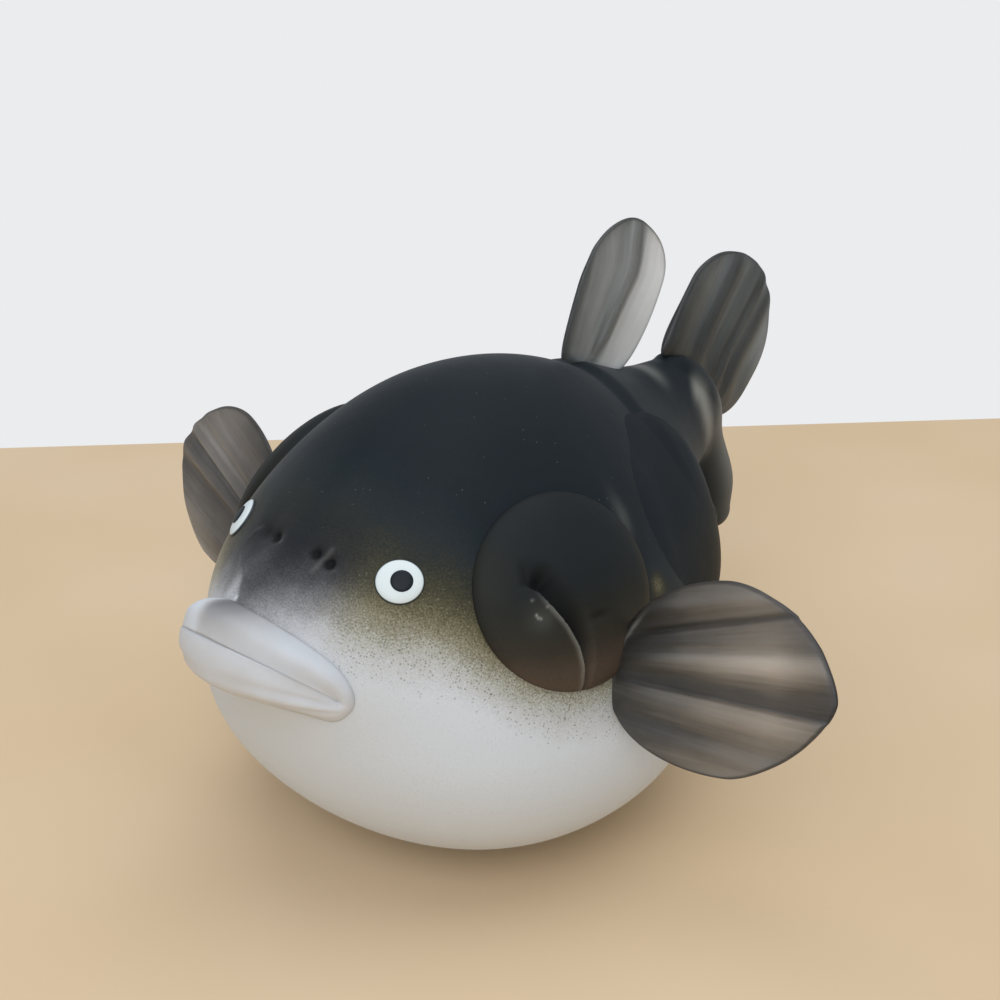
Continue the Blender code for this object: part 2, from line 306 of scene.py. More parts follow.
@dataclass(frozen=True)
class Grain:
    """One kind of grain of the casing's powder."""

    size: float                  # millimetres from grain to grain
    shares: tuple                # share of the places filled, by height above the casing's edge
    radius: float                # share of its place that a grain covers
    colour: str
    strength: float              # how much of its colour shows
    needs_loose: bool = True     # whether it is seen only where the powder is loose

    def scatter(self, tree: Tree, place: Socket, level: Socket, loose: Socket,
                ground: Socket) -> Socket:
        """Scatters the grains over a colour.

        Args:
            tree: The material's node tree.
            place: Object coordinates.
            level: Height above the casing's edge in millimetres.
            loose: 1 where the powder is loose, 0 where it melted smooth.
            ground: The colour under the grains.

        Returns:
            The colour with its grains.
        """
        cells = add(tree, "ShaderNodeTexVoronoi", {}, {"Vector": place,
                                                       "Scale": 1.0 / (self.size * MM)})
        chance = add(tree, "ShaderNodeSeparateColor", {}, {"Color": cells.outputs["Color"]})
        low, high = self.shares[0][0], self.shares[-1][0]
        spread = add(tree, "ShaderNodeMapRange", {}, {
            "Value": level, "From Min": low, "From Max": high})
        density = add(tree, "ShaderNodeFloatCurve", {}, {"Value": spread.outputs["Result"]})
        curve = density.mapping.curves[0]
        for at, share in self.shares[1:-1]:
            curve.points.new((at - low) / (high - low), share)
        curve.points[0].location = (0.0, self.shares[0][1])
        curve.points[len(curve.points) - 1].location = (1.0, self.shares[-1][1])
        density.mapping.update()
        picked = add(tree, "ShaderNodeMath", {"operation": "SUBTRACT"},
                     {0: density.outputs["Value"], 1: chance.outputs["Red"]})
        shown = add(tree, "ShaderNodeMath", {"operation": "MULTIPLY", "use_clamp": True},
                    {0: picked.outputs[0], 1: 14.0})
        spot = add(tree, "ShaderNodeMapRange", {}, {
            "Value": cells.outputs["Distance"], "From Min": self.radius * 0.7,
            "From Max": self.radius * 1.15, "To Min": self.strength, "To Max": 0.0})
        mask = add(tree, "ShaderNodeMath", {"operation": "MULTIPLY"},
                   {0: shown.outputs[0], 1: spot.outputs["Result"]})
        if self.needs_loose:
            mask = add(tree, "ShaderNodeMath", {"operation": "MULTIPLY"},
                       {0: mask.outputs[0], 1: loose})
        return add(tree, "ShaderNodeMix", {"data_type": "RGBA"}, {
            "Factor": mask.outputs[0], 6: ground, 7: linear(self.colour)}).outputs[2]


@dataclass(frozen=True)
class CasedOpal(Finish):
    """Blown opal glass with black powder melted over its back, acid etched.

    The powder ends in a band of loose grains over an olive film, and smoothly on the snout. To the
    eye: a soft white belly, a blue-black satin back, and a peppered olive edge between them.
    """

    roughness: float = 0.58
    specular: float = 0.12
    scatter: float = 0.25
    scatter_reach: float = 3.0
    wave: float = 14.0
    swell: float = 0.25
    clump: float = 0.32          # millimetres across one clump of powder
    clumping: float = 6.0        # millimetres of height that clumps move the colour by, at most
    melted: float = 0.4          # share of the clumping that is left where the powder melted
    drift: float = 3.6           # millimetres of height that the edge wanders by
    band: tuple[float, float] = (-12.0, 20.0)   # heights above the edge that the colours span
    # Colours from the bare belly to the full casing, where the powder is loose and where it melted.
    loose: tuple = (
        (0.0, "#cdd3d8"), (0.09, "#c6c9cc"), (0.19, "#b7b8b5"), (0.25, "#a8a99f"),
        (0.31, "#8f8c7b"), (0.375, "#79745d"), (0.44, "#605c46"), (0.5, "#4c4937"),
        (0.56, "#3f3d2e"), (0.66, "#2b2d28"), (0.76, "#20272a"), (0.9, "#182126"), (1.0, "#151d22"))
    smooth: tuple = (
        (0.0, "#cdd3d8"), (0.1, "#ced2d6"), (0.19, "#c0c1c5"), (0.25, "#b3b4b7"),
        (0.31, "#929293"), (0.375, "#6c6d6e"), (0.44, "#4b4c4e"), (0.5, "#333436"),
        (0.56, "#242629"), (0.66, "#1b2025"), (0.85, "#151d22"), (1.0, "#151d22"))
    # Colours painted on the skin: highlights and light through its thinnest glass, then the shade
    # in its pits.
    painted_light_colour: str = "#878882"
    pit_shadow: str = "#101214"
    sheen: float = 0.08
    sheen_roughness: float = 0.4
    # Dark grains below the edge, fine and coarse, pale ones in the film and rare ones on the back.
    grains: tuple[Grain, ...] = (
        Grain(0.416, ((-14.0, 0.0), (-8.0, 0.22), (-4.0, 0.4), (1.0, 0.2), (6.0, 0.0)), 0.42,
              "#4d4b42", 0.5),
        Grain(0.704, ((-16.0, 0.0), (-9.0, 0.04), (-3.0, 0.08), (4.0, 0.04), (8.0, 0.0)), 0.3,
              "#3a3832", 0.6),
        Grain(0.448, ((-5.0, 0.0), (0.0, 0.16), (4.0, 0.1), (8.0, 0.03), (12.0, 0.0)), 0.4,
              "#a39f86", 0.3),
        Grain(1.25, ((2.0, 0.0), (8.0, 0.35), (20.0, 0.3), (60.0, 0.25), (90.0, 0.25)), 0.07,
              "#8b979e", 0.55, needs_loose=False))

    def build(self) -> Material:
        """Makes the material from the marks "cover", "fade" and "pit" of the skin, and from its
        mark of painted light.
        """
        tree, surface, place = self.shader()
        cover, fade, thin, pit = [
            add(tree, "ShaderNodeAttribute", {"attribute_name": mark}, {}).outputs["Fac"]
            for mark in ("cover", "fade", "thin", "pit")]
        wander = add(tree, "ShaderNodeTexNoise", {}, {
            "Vector": place, "Scale": 1.0 / (6.0 * MM), "Detail": 3.0, "Roughness": 0.6})
        shifted = add(tree, "ShaderNodeMath", {"operation": "MULTIPLY_ADD"},
                      {0: wander.outputs["Fac"], 1: self.drift, 2: cover})
        level = add(tree, "ShaderNodeMath", {"operation": "SUBTRACT"},
                    {0: shifted.outputs[0], 1: self.drift / 2.0}).outputs[0]
        share = add(tree, "ShaderNodeMapRange", {}, {
            "Value": level, "From Min": self.band[0], "From Max": self.band[1]})
        # The powder clumps, so that the colour is read a little higher or lower at each grain.
        clump = add(tree, "ShaderNodeTexNoise", {}, {
            "Vector": place, "Scale": 1.0 / (self.clump * MM), "Detail": 2.0, "Roughness": 0.7})
        reach = self.clumping / (self.band[1] - self.band[0])
        rows = []
        for stops, moved in ((self.loose, reach), (self.smooth, self.melted * reach)):
            stir = add(tree, "ShaderNodeMapRange", {}, {
                "Value": clump.outputs["Fac"], "To Min": -moved, "To Max": moved})
            at = add(tree, "ShaderNodeMath", {"operation": "ADD"},
                     {0: share.outputs["Result"], 1: stir.outputs["Result"]})
            rows.append(add(tree, "ShaderNodeValToRGB", {"stops": stops},
                            {"Fac": at.outputs[0]}).outputs["Color"])
        colour = add(tree, "ShaderNodeMix", {"data_type": "RGBA"},
                     {"Factor": fade, 6: rows[0], 7: rows[1]}).outputs[2]
        loose = add(tree, "ShaderNodeMath", {"operation": "SUBTRACT"}, {0: 1.0, 1: fade}).outputs[0]
        for grain in self.grains:
            colour = grain.scatter(tree, place, level, loose, colour)
        # Paints the highlights and the light through the thinnest glass, then the shade in the
        # pits.
        for mark, code in ((thin, self.painted_light_colour), (pit, self.pit_shadow)):
            colour = add(tree, "ShaderNodeMix", {"data_type": "RGBA"},
                         {"Factor": mark, 6: colour, 7: linear(code)}).outputs[2]
        tree.links.new(colour, surface.inputs["Base Color"])
        surface.inputs["Sheen Weight"].default_value = self.sheen
        surface.inputs["Sheen Roughness"].default_value = self.sheen_roughness
        return bpy.data.materials[self.name]


@dataclass(frozen=True)
class MarkedGlass(Finish):
    """Hot-worked coloured glass, acid etched, its colour read from the mark "tone" of the piece.

    To the eye: satin glass whose tone is painted darker where it is thick and paler where light
    shows through a thinning edge.
    """

    stops: tuple = ((0.0, "#202020"), (1.0, "#808080"))
    see_through: float = 0.0
    cloudy: float = 0.1          # how far slow clouds move the tone
    speck: float = 0.0           # how dark the specks of powder in the glass are
    speck_size: float = 0.6      # millimetres from speck to speck
    speck_colour: str = "#1a1613"
    creased: bool = False        # whether the marks "shade" and "lit" are read too
    shade_colour: str = "#0b0d0e"
    lit_colour: str = "#9c9c94"
    streak: float = 0.0          # how far streaks along the mark "run" move the tone either way

    def build(self) -> Material:
        """Makes the material from the mark "tone" of the piece."""
        tree, surface, place = self.shader()
        tone = add(tree, "ShaderNodeAttribute", {"attribute_name": "tone"}, {})
        cloud = add(tree, "ShaderNodeTexNoise", {}, {
            "Vector": place, "Scale": 1.0 / (5.0 * MM), "Detail": 3.0})
        level = add(tree, "ShaderNodeMath", {"operation": "MULTIPLY_ADD"}, {
            0: cloud.outputs["Fac"], 1: self.cloudy, 2: tone.outputs["Fac"]}).outputs[0]
        if self.streak:
            run = add(tree, "ShaderNodeAttribute", {"attribute_name": "run"}, {})
            fibre = add(tree, "ShaderNodeTexNoise", {}, {
                "Vector": run.outputs["Vector"], "Scale": 0.9, "Detail": 4.0, "Roughness": 0.65})
            swing = add(tree, "ShaderNodeMapRange", {}, {
                "Value": fibre.outputs["Fac"], "From Min": 0.25, "From Max": 0.75,
                "To Min": -self.streak, "To Max": self.streak})
            level = add(tree, "ShaderNodeMath", {"operation": "ADD"},
                        {0: level, 1: swing.outputs["Result"]}).outputs[0]
        level = add(tree, "ShaderNodeMath", {"operation": "SUBTRACT", "use_clamp": True},
                    {0: level, 1: self.cloudy / 2.0}).outputs[0]
        colour = add(tree, "ShaderNodeValToRGB", {"stops": self.stops},
                     {"Fac": level}).outputs["Color"]
        if self.speck:
            cells = add(tree, "ShaderNodeTexVoronoi", {}, {
                "Vector": place, "Scale": 1.0 / (self.speck_size * MM)})
            spot = add(tree, "ShaderNodeMapRange", {}, {
                "Value": cells.outputs["Distance"], "From Min": 0.12, "From Max": 0.3,
                "To Min": self.speck, "To Max": 0.0})
            colour = add(tree, "ShaderNodeMix", {"data_type": "RGBA"}, {
                "Factor": spot.outputs["Result"], 6: colour,
                7: linear(self.speck_colour)}).outputs[2]
        creases = (("shade", self.shade_colour), ("lit", self.lit_colour))
        for mark, code in creases if self.creased else ():
            amount = add(tree, "ShaderNodeAttribute", {"attribute_name": mark}, {})
            colour = add(tree, "ShaderNodeMix", {"data_type": "RGBA"}, {
                "Factor": amount.outputs["Fac"], 6: colour, 7: linear(code)}).outputs[2]
        tree.links.new(colour, surface.inputs["Base Color"])
        surface.inputs["Transmission Weight"].default_value = self.see_through
        return bpy.data.materials[self.name]


@dataclass(frozen=True)
class OiledBoard:
    """Pale oiled wood without its grain. To the eye: plain matt beige, barely clouded."""

    name: str = "pale_board_oiled"
    stops: tuple = ((0.35, "#d6bc98"), (0.65, "#dbc3a2"))
    clouds: float = 9.0          # to the metre
    roughness: float = 0.7
    specular: float = 0.2

    def build(self) -> Material:
        """Makes the material."""
        material = bpy.data.materials.new(self.name)
        material.use_nodes = True
        tree = material.node_tree
        surface = tree.nodes["Principled BSDF"]
        place = add(tree, "ShaderNodeTexCoord", {}, {}).outputs["Object"]
        cloud = add(tree, "ShaderNodeTexNoise", {}, {
            "Vector": place, "Scale": self.clouds, "Detail": 2.0})
        colour = add(tree, "ShaderNodeValToRGB", {"stops": self.stops},
                     {"Fac": cloud.outputs["Fac"]})
        tree.links.new(colour.outputs["Color"], surface.inputs["Base Color"])
        surface.inputs["Roughness"].default_value = self.roughness
        surface.inputs["Specular IOR Level"].default_value = self.specular
        return material


# ---- the blown form


TOOL_AXIS = np.array([-0.298, 0.746, -0.596])    # the way the tool was pushed into the face
TOOL_TRAVEL = (-1.2, 5.0)                        # how far before and past the face it dents


def from_axis(points: Array, spot: Array) -> Array:
    """Distance from the line on which the tool was pushed in at a spot of the face."""
    offset = points - spot
    along = np.clip(offset @ TOOL_AXIS, *TOOL_TRAVEL)
    return np.linalg.norm(offset - along[:, None] * TOOL_AXIS, axis=1)


@dataclass
class BlownForm:
    """The skin of the whole body as a field, below zero inside, about one a millimetre."""

    front: float = 50.0
    rear: float = 63.0
    half_width: float = 47.2
    middle_z: float = 38.6
    rise: float = 55.1
    sink: float = 38.9
    belly_spread: float = 0.20
    front_fullness: float = 0.22
    rear_taper: float = 0.28
    mean_radius: float = 50.0
    # Swellings of the face: reach, height, and how far each spreads sideways and up.
    snout: tuple = ((11.0, 58.0, 21.0, 15.0), (2.4, 63.0, 7.5, 5.0))
    face_depth: float = 12.0     # how far behind the middle they fade out
    # Tubes of oval sections: centre y, centre z, tilt in degrees, half height and half width.
    stalk: tuple = ((36.0, 61.0, 0.0, 22.0, 20.0), (51.0, 63.0, 12.0, 18.0, 15.5),
                    (63.0, 66.0, 28.0, 15.5, 11.0), (72.3, 70.1, 43.0, 12.7, 7.0))
    stalk_cap: float = 6.0
    stalk_blend: float = 9.0
    lobe: tuple = ((69.0, 67.4, -52.0, 5.6, 5.8), (75.6, 60.0, -60.0, 6.8, 5.0),
                   (79.6, 52.0, -68.0, 7.3, 5.0), (83.6, 44.0, -71.0, 6.7, 4.8),
                   (85.6, 37.2, -74.0, 4.5, 3.7))
    lobe_cap: float = 4.4
    lobe_blend: float = 5.0
    tail_start: float = 5.0      # y behind which the stalk and the lobe are worked out
    ground_round: float = 1.0    # how softly the ground flat meets the belly
    # Pits of the face: place, width and depth; a depth below zero stands proud.
    pits: tuple = ((6.0, -44.0, 71.8, 0.9, 1.7), (9.2, -43.9, 70.9, 1.05, 2.0),
                   (-4.2, -44.2, 72.1, 1.0, 1.9), (-7.0, -43.5, 71.8, 1.1, 1.1),
                   (7.7, -44.2, 71.1, 0.55, -0.35), (-5.8, -43.6, 72.1, 0.6, -0.25))
    # The fold that runs from beside the right nostril to the middle of the lip: x and z.
    fold: tuple = ((-8.8, 72.1), (-10.6, 70.7), (-11.2, 69.5), (-11.2, 68.5), (-10.5, 67.7),
                   (-7.5, 66.7), (-4.7, 66.1), (-3.1, 65.0), (-2.3, 64.3))
    fold_depth: float = 0.3

    def egg(self, points: Array) -> Array:
        """The body's egg with its snout."""
        x, y, z = points.T
        up = (z - self.middle_z) / np.where(z > self.middle_z, self.rise, self.sink)
        for reach, height, wide, high in self.snout:
            swelling = reach * np.exp(-(x / wide) ** 2 - ((z - height) / high) ** 2)
            y = y + swelling * ease(-y, 0.0, self.face_depth)
        along = y / np.where(y < 0.0, self.front, self.rear)
        fullness = np.where(y < 0.0, self.front_fullness, -self.rear_taper)
        wide = self.half_width * (1.0 - self.belly_spread * np.clip(up, -1.3, 1.3))
        wide = wide * (1.0 + fullness * np.clip(along ** 2, 0.0, 1.4))
        return (np.sqrt(along ** 2 + (x / wide) ** 2 + up ** 2) - 1.0) * self.mean_radius

    def tube(self, points: Array, sections: tuple, cap: float) -> Array:
        """An oval tube in the middle plane that bends and thins.

        Args:
            points: Places in millimetres, one a row.
            sections: The tube's oval sections.
            cap: How far its rounded ends reach past the first and last of them.

        Returns:
            The tube's field at each place.
        """
        last = len(sections) - 1.0
        steps = np.linspace(0.0, last, 61)
        y, z, tilt, high, wide = [curve_through(steps, np.arange(last + 1.0), column)
                                  for column in np.array(sections).T]
        tilt = np.radians(tilt)
        ahead = np.stack([np.cos(tilt), np.sin(tilt)], axis=1)
        centres = np.stack([y, z], axis=1)
        flat = points[:, 1:]
        past = np.einsum("pij,ij->pi", flat[:, None, :] - centres[None], ahead)
        index = np.clip((past > 0.0).sum(axis=1) - 1, 0, len(steps) - 2)
        rows = np.arange(len(points))
        here, after = past[rows, index], past[rows, index + 1]
        share = np.clip(here / np.maximum(here - after, 1e-6), 0.0, 1.0)

        def at(values: Array) -> Array:
            """Reads a column of the table at each point's own place."""
            return values[index] * (1.0 - share) + values[index + 1] * share

        lean = at(tilt)
        gap_y, gap_z = flat[:, 0] - at(y), flat[:, 1] - at(z)
        over = gap_y * np.cos(lean) + gap_z * np.sin(lean)
        upward = gap_z * np.cos(lean) - gap_y * np.sin(lean)
        a, b = at(high), at(wide)
        value = np.sqrt((points[:, 0] / b) ** 2 + (upward / a) ** 2 + (over / cap) ** 2) - 1.0
        return value * np.sqrt(a * b)

    def beside_fold(self, points: Array) -> tuple[Array, Array]:
        """Signed distance from the fold, as seen from in front, and the share of its length."""
        return beside_line(points[:, [0, 2]], np.array(self.fold))[1:]

    def details(self, points: Array) -> Array:
        """Pits and folds of the face, as depths taken off the surface."""
        off = np.zeros(len(points))
        for *spot, width, depth in self.pits:
            off += depth * bell(from_axis(points, np.array(spot)), width)
        side, share = self.beside_fold(points)
        shallow = 0.6 * ease(share, 0.3, 0.5) * (1.0 - ease(share, 0.5, 0.7))
        present = ease(share, 0.0, 0.15) * (1.0 - shallow)
        step = (1.0 - ease(side, -0.4, 0.3)) * bell(np.minimum(side, 0.0), 1.8)
        off -= self.fold_depth * step * present
        return off * ease(-points[:, 1], 28.0, 36.0)

    def value(self, points: Array, detailed: bool = False) -> Array:
        """The field of the whole skin.

        Args:
            points: Places in millimetres, one a row.
            detailed: Whether the pits and folds of the face are in it.

        Returns:
            The field at each place.
        """
        body = self.egg(points)
        tail = np.full(len(points), 1e3)
        behind = points[:, 1] > self.tail_start
        tail[behind] = soft_min(self.tube(points[behind], self.stalk, self.stalk_cap),
                                self.tube(points[behind], self.lobe, self.lobe_cap),
                                self.lobe_blend)
        whole = soft_min(body, tail, self.stalk_blend)
        if detailed:
            whole = whole + self.details(points)
        return -soft_min(-whole, points[:, 2], self.ground_round)

    def slope(self, points: Array, detailed: bool = False) -> Array:
        """The field's rise in each direction."""
        step = 0.02
        rises = [self.value(points + axis, detailed) - self.value(points - axis, detailed)
                 for axis in np.eye(3) * step]
        return np.stack(rises, axis=1) / (2 * step)

    def settle(self, points: Array, rounds: int, detailed: bool = False) -> Array:
        """Moves points onto the skin."""
        for _ in range(rounds):
            slope = self.slope(points, detailed)
            square = np.maximum((slope ** 2).sum(axis=1), 0.05)
            step = (self.value(points, detailed) / square)[:, None] * slope
            length = np.linalg.norm(step, axis=1, keepdims=True)
            points = points - step * np.minimum(1.0, 3.0 / np.maximum(length, 1e-9))
        return points

    def drop(self, points: Array, facing: Array) -> Array:
        """Moves points along a direction, from outside, until they meet the skin."""
        for _ in range(60):
            points = points - facing * (self.value(points) * 0.7)[:, None]
        return points


FORM = BlownForm()


@dataclass
class Placement:
    """Where a laid-on piece sits: its middle on the skin and its own directions there."""

    near: tuple[float, float, float]

    def axes(self) -> tuple[Array, Array, Array, Array]:
        """Finds the place and the directions.

        Returns:
            The middle on the skin, then the directions along the flank, up it and outward.
        """
        spot = FORM.settle(np.array([self.near]), 6)
        facing = unit(FORM.slope(spot))[0]
        across = unit(np.cross((0.0, 0.0, 1.0), facing))
        return spot[0], across, np.cross(facing, across), facing


def lay_on(piece: Piece, place: Placement, half_width: float, half_height: float,
           height: Callable[[Array, Array], Array], sink: float) -> None:
    """Lays a round lens on the skin.

    Args:
        piece: A ball of one millimetre, whose points are moved.
        place: Where the lens sits.
        half_width: Half its width along the flank.
        half_height: Half its height up the flank.
        height: Gives the outer face's height from flat places (u, v) and their share of the radius.
        sink: How deep its inner face goes under the skin.
    """
    spot, across, upward, facing = place.axes()
    ball_points = points_of(piece)
    flat = ball_points[:, :2] * (half_width, half_height)
    share = np.hypot(ball_points[:, 0], ball_points[:, 1])
    start = spot + flat[:, :1] * across + flat[:, 1:] * upward + facing * half_width
    base = FORM.drop(start, facing)
    normal = unit(FORM.slope(base))
    outer = height(flat, share)
    inner = -sink * np.sqrt(np.clip(1.0 - share ** 4, 0.0, 1.0))
    lift = np.where(ball_points[:, 2] >= -1e-6, outer, inner)
    set_points(piece, base + normal * lift[:, None])


# ---- pieces


@dataclass
class BlownBody:
    """The body, the tail stalk and its lobe, one blown bubble."""

    egg_mesh: tuple[int, int] = (96, 64)         # segments and rings of the ball it starts from
    tail_mesh: tuple[int, int] = (48, 32)
    voxel: float = 0.8
    egg_size: tuple = (40.0, 48.0, 40.0)
    egg_place: tuple = (0.0, 3.0, 42.0)
    stalk_size: tuple = (10.0, 27.0, 14.0)
    stalk_place: tuple = (0.0, 53.0, 62.0)
    stalk_lean: float = 28.0     # degrees
    lobe_size: tuple = (4.8, 6.4, 20.5)
    lobe_place: tuple = (0.0, 80.2, 52.4)
    lobe_lean: float = 0.33      # how far it leans back for each millimetre down
    # The box round the nostrils where the mesh is made finer: half width, z, half height, front y.
    fine_box: tuple = (15.0, 69.5, 9.5, -35.0)
    # Height of the casing's edge by angle round the body from straight ahead, in degrees.
    edge: tuple = ((0.0, 66.0), (10.0, 67.6), (20.0, 65.7), (30.0, 63.3), (40.5, 61.1),
                   (51.0, 55.6), (59.5, 51.6), (75.0, 48.2), (95.0, 46.0), (125.0, 41.0),
                   (150.0, 30.5), (180.0, 24.0))
    # Lines along which highlights and light through the thinnest glass are painted, y and z: the
    # stalk's shoulder, the lobe's rear edge, between the pads.
    shoulder: tuple = ((64.5, 75.5), (67.9, 72.0), (68.4, 68.0), (70.3, 63.4), (75.0, 57.0))
    lobe_rear: tuple = ((74.0, 75.0), (80.0, 68.0), (84.0, 60.0), (87.0, 51.0), (88.5, 43.0),
                        (88.0, 35.0))
    valley: tuple = ((7.2, 75.5), (7.7, 70.5), (6.8, 65.5))
    # The pinch between the left nostrils, x and z, and the glints beside two of the pits, both
    # painted as highlights.
    pinch: tuple = ((8.2, 72.4), (7.4, 69.8))
    glints: tuple = ((-2.9, -44.4, 71.8), (10.3, -44.0, 70.2))
    finish: CasedOpal = CasedOpal("opal_glass_cased_black_etched")

    def build(self) -> Piece:
        """Joins drawn-out balls, fuses them and settles them on the form."""
        skin = ball("blown_body", *self.egg_mesh)
        set_points(skin, FORM.settle(points_of(skin) * self.egg_size + self.egg_place, 10))
        stalk, lobe = [ball(name, *self.tail_mesh) for name in ("stalk_start", "lobe_start")]
        x, y, z = (points_of(stalk) * self.stalk_size).T
        lean = math.radians(self.stalk_lean)
        turned = np.stack([x, y * math.cos(lean) - z * math.sin(lean),
                           y * math.sin(lean) + z * math.cos(lean)], axis=1)
        set_points(stalk, turned + self.stalk_place)
        hanging = points_of(lobe) * self.lobe_size + self.lobe_place
        hanging[:, 1] += self.lobe_lean * (self.lobe_place[2] - hanging[:, 2])
        set_points(lobe, hanging)
        activate(skin)
        stalk.select_set(True)
        lobe.select_set(True)
        bpy.ops.object.join()
        apply_modifier(skin, "REMESH", mode="VOXEL", voxel_size=self.voxel * MM)
        set_points(skin, FORM.settle(points_of(skin), 5))
        apply_modifier(skin, "SMOOTH", factor=0.5, iterations=4)
        set_points(skin, FORM.settle(points_of(skin), 4))
        self.refine(skin)
        set_points(skin, FORM.settle(points_of(skin), 6, detailed=True))
        face_outwards(skin)
        points = points_of(skin)
        # Marks for the material: the casing's height, its fade, painted light and painted shade in
        # the pits.
        for name, mark in (("cover", self.cover), ("fade", self.fade), ("thin", self.thin),
                           ("pit", self.pit)):
            set_mark(skin, name, mark(points))
        dress(skin, self.finish.build(), "opal_glass", "head", "trunk", "tail_stalk", "anal_fin")
        return skin

    def refine(self, skin: Piece) -> None:
        """Subdivides the faces round the nostrils and the fold under the nose, twice."""
        activate(skin)
        half_width, height, half_height, front = self.fine_box
        for reach in (1.0, 0.72):
            bpy.ops.object.mode_set(mode="EDIT")
            bpy.ops.mesh.select_all(action="DESELECT")
            bpy.ops.object.mode_set(mode="OBJECT")
            centres = np.empty(len(skin.data.polygons) * 3)
            skin.data.polygons.foreach_get("center", centres)
            x, y, z = centres.reshape(-1, 3).T / MM
            near = (np.abs(x) < half_width * reach) & (np.abs(z - height) < half_height * reach)
            skin.data.polygons.foreach_set("select", near & (y < front))
            bpy.ops.object.mode_set(mode="EDIT")
            bpy.ops.mesh.subdivide(number_cuts=1)
            bpy.ops.object.mode_set(mode="OBJECT")

    def cover(self, points: Array) -> Array:
        """Height above the casing's edge, which is lower on the right and breaks at the fold."""
        x, y, z = points.T
        angles, heights = np.array(self.edge).T
        edge = curve_through(np.degrees(np.arctan2(np.abs(x), -y)), angles, heights)
        side, share = FORM.beside_fold(points)
        low = ease(share, 0.55, 0.8)
        beyond = 1.3 * (1.0 - ease(side, -0.6, 0.3)) * bell(np.minimum(side, 0.0), 6.0) * low
        before = 2.4 * ease(side, -0.2, 0.5) * bell(np.maximum(side, 0.0), 2.5) * low
        right_cheek = 2.6 * ease(-x, 2.0, 9.0) * (1.0 - 0.8 * low)
        left_nostril = 1.3 * bell(x - 8.5, 4.5)
        shift = right_cheek + left_nostril + before - beyond
        chip = 4.0 * bell(gap_to(points, (-2.6, -55.2, 64.5), (1.2, 0.7, 0.8)), 0.3)
        gap = 10.5 * bell(np.hypot(y - 10.2, z - 57.6), 1.7) * ease(np.abs(x), 30.0, 36.0)
        return z - edge + shift * ease(-y, 30.0, 42.0) - chip - gap

    def fade(self, points: Array) -> Array:
        """How smoothly the powder melted: 1 on the snout and 0 on the flanks."""
        x, y, _ = points.T
        return (1.0 - ease(x, 10.0, 20.0)) * (1.0 - ease(-x, 12.0, 22.0)) * ease(-y, 34.0, 44.0)

    def thin(self, points: Array) -> Array:
        """Painted highlights and painted light through the thinnest glass: along the tail, behind
        the dorsal fin, between the pads and at the nostrils.
        """
        x, y, z = points.T
        flat, face = points[:, 1:], points[:, [0, 2]]
        near, _, share = beside_line(flat, np.array(self.shoulder))
        fading = 1.0 - 0.8 * ease(share, 0.5, 1.0)
        shoulder = 0.85 * bell(near, 2.0) * ease(share, 0.0, 0.15) * fading
        near, _, share = beside_line(flat, np.array(self.lobe_rear))
        fading = 1.0 - 0.45 * ease(share, 0.5, 1.0)
        rear = 0.75 * bell(near, 4.4) * ease(share, 0.05, 0.3) * fading
        rim = np.maximum(shoulder, rear) * ease(np.abs(x), 1.0, 5.0)
        foot = 0.45 * bell(np.hypot(y - 56.0, z - 79.6), 1.5) * ease(y, 51.0, 54.0)
        near, _, share = beside_line(flat, np.array(self.valley))
        between = 0.2 * bell(near, 1.1) * bell(share - 0.55, 0.25) * ease(np.abs(x), 25.0, 29.0)
        pinch = 0.17 * bell(beside_line(face, np.array(self.pinch))[0], 0.35)
        glints = 0.5 * sum(bell(gap_to(points, spot), 0.3) for spot in self.glints)
        side, share = FORM.beside_fold(points)
        fold = 0.1 * (bell(side + 0.3, 0.3) * ease(share, 0.0, 0.1))
        ridges = np.clip(pinch + glints + fold, 0.0, 1.0) * ease(-y, 36.0, 40.0)
        return np.maximum.reduce([rim, foot, between, ridges])

    def pit(self, points: Array) -> Array:
        """How far each place lies in the shadow of a pit, darkest where the pit is deepest."""
        shadow = np.zeros(len(points))
        for *spot, width, depth in FORM.pits:
            if depth > 0.0:
                outside = np.maximum(from_axis(points, np.array(spot)) - 0.7 * width, 0.0)
                shadow += min(depth / 1.7, 1.0) ** 2 * bell(outside, 0.35)
        return np.clip(shadow, 0.0, 1.0) * ease(-points[:, 1], 30.0, 38.0)


# ---- laid-on pieces


class PadKind(Enum):
    """The two kinds of flank pad, with their half width and half height."""

    FRONT = (19.25, 18.0)
    REAR = (20.2, 21.6)


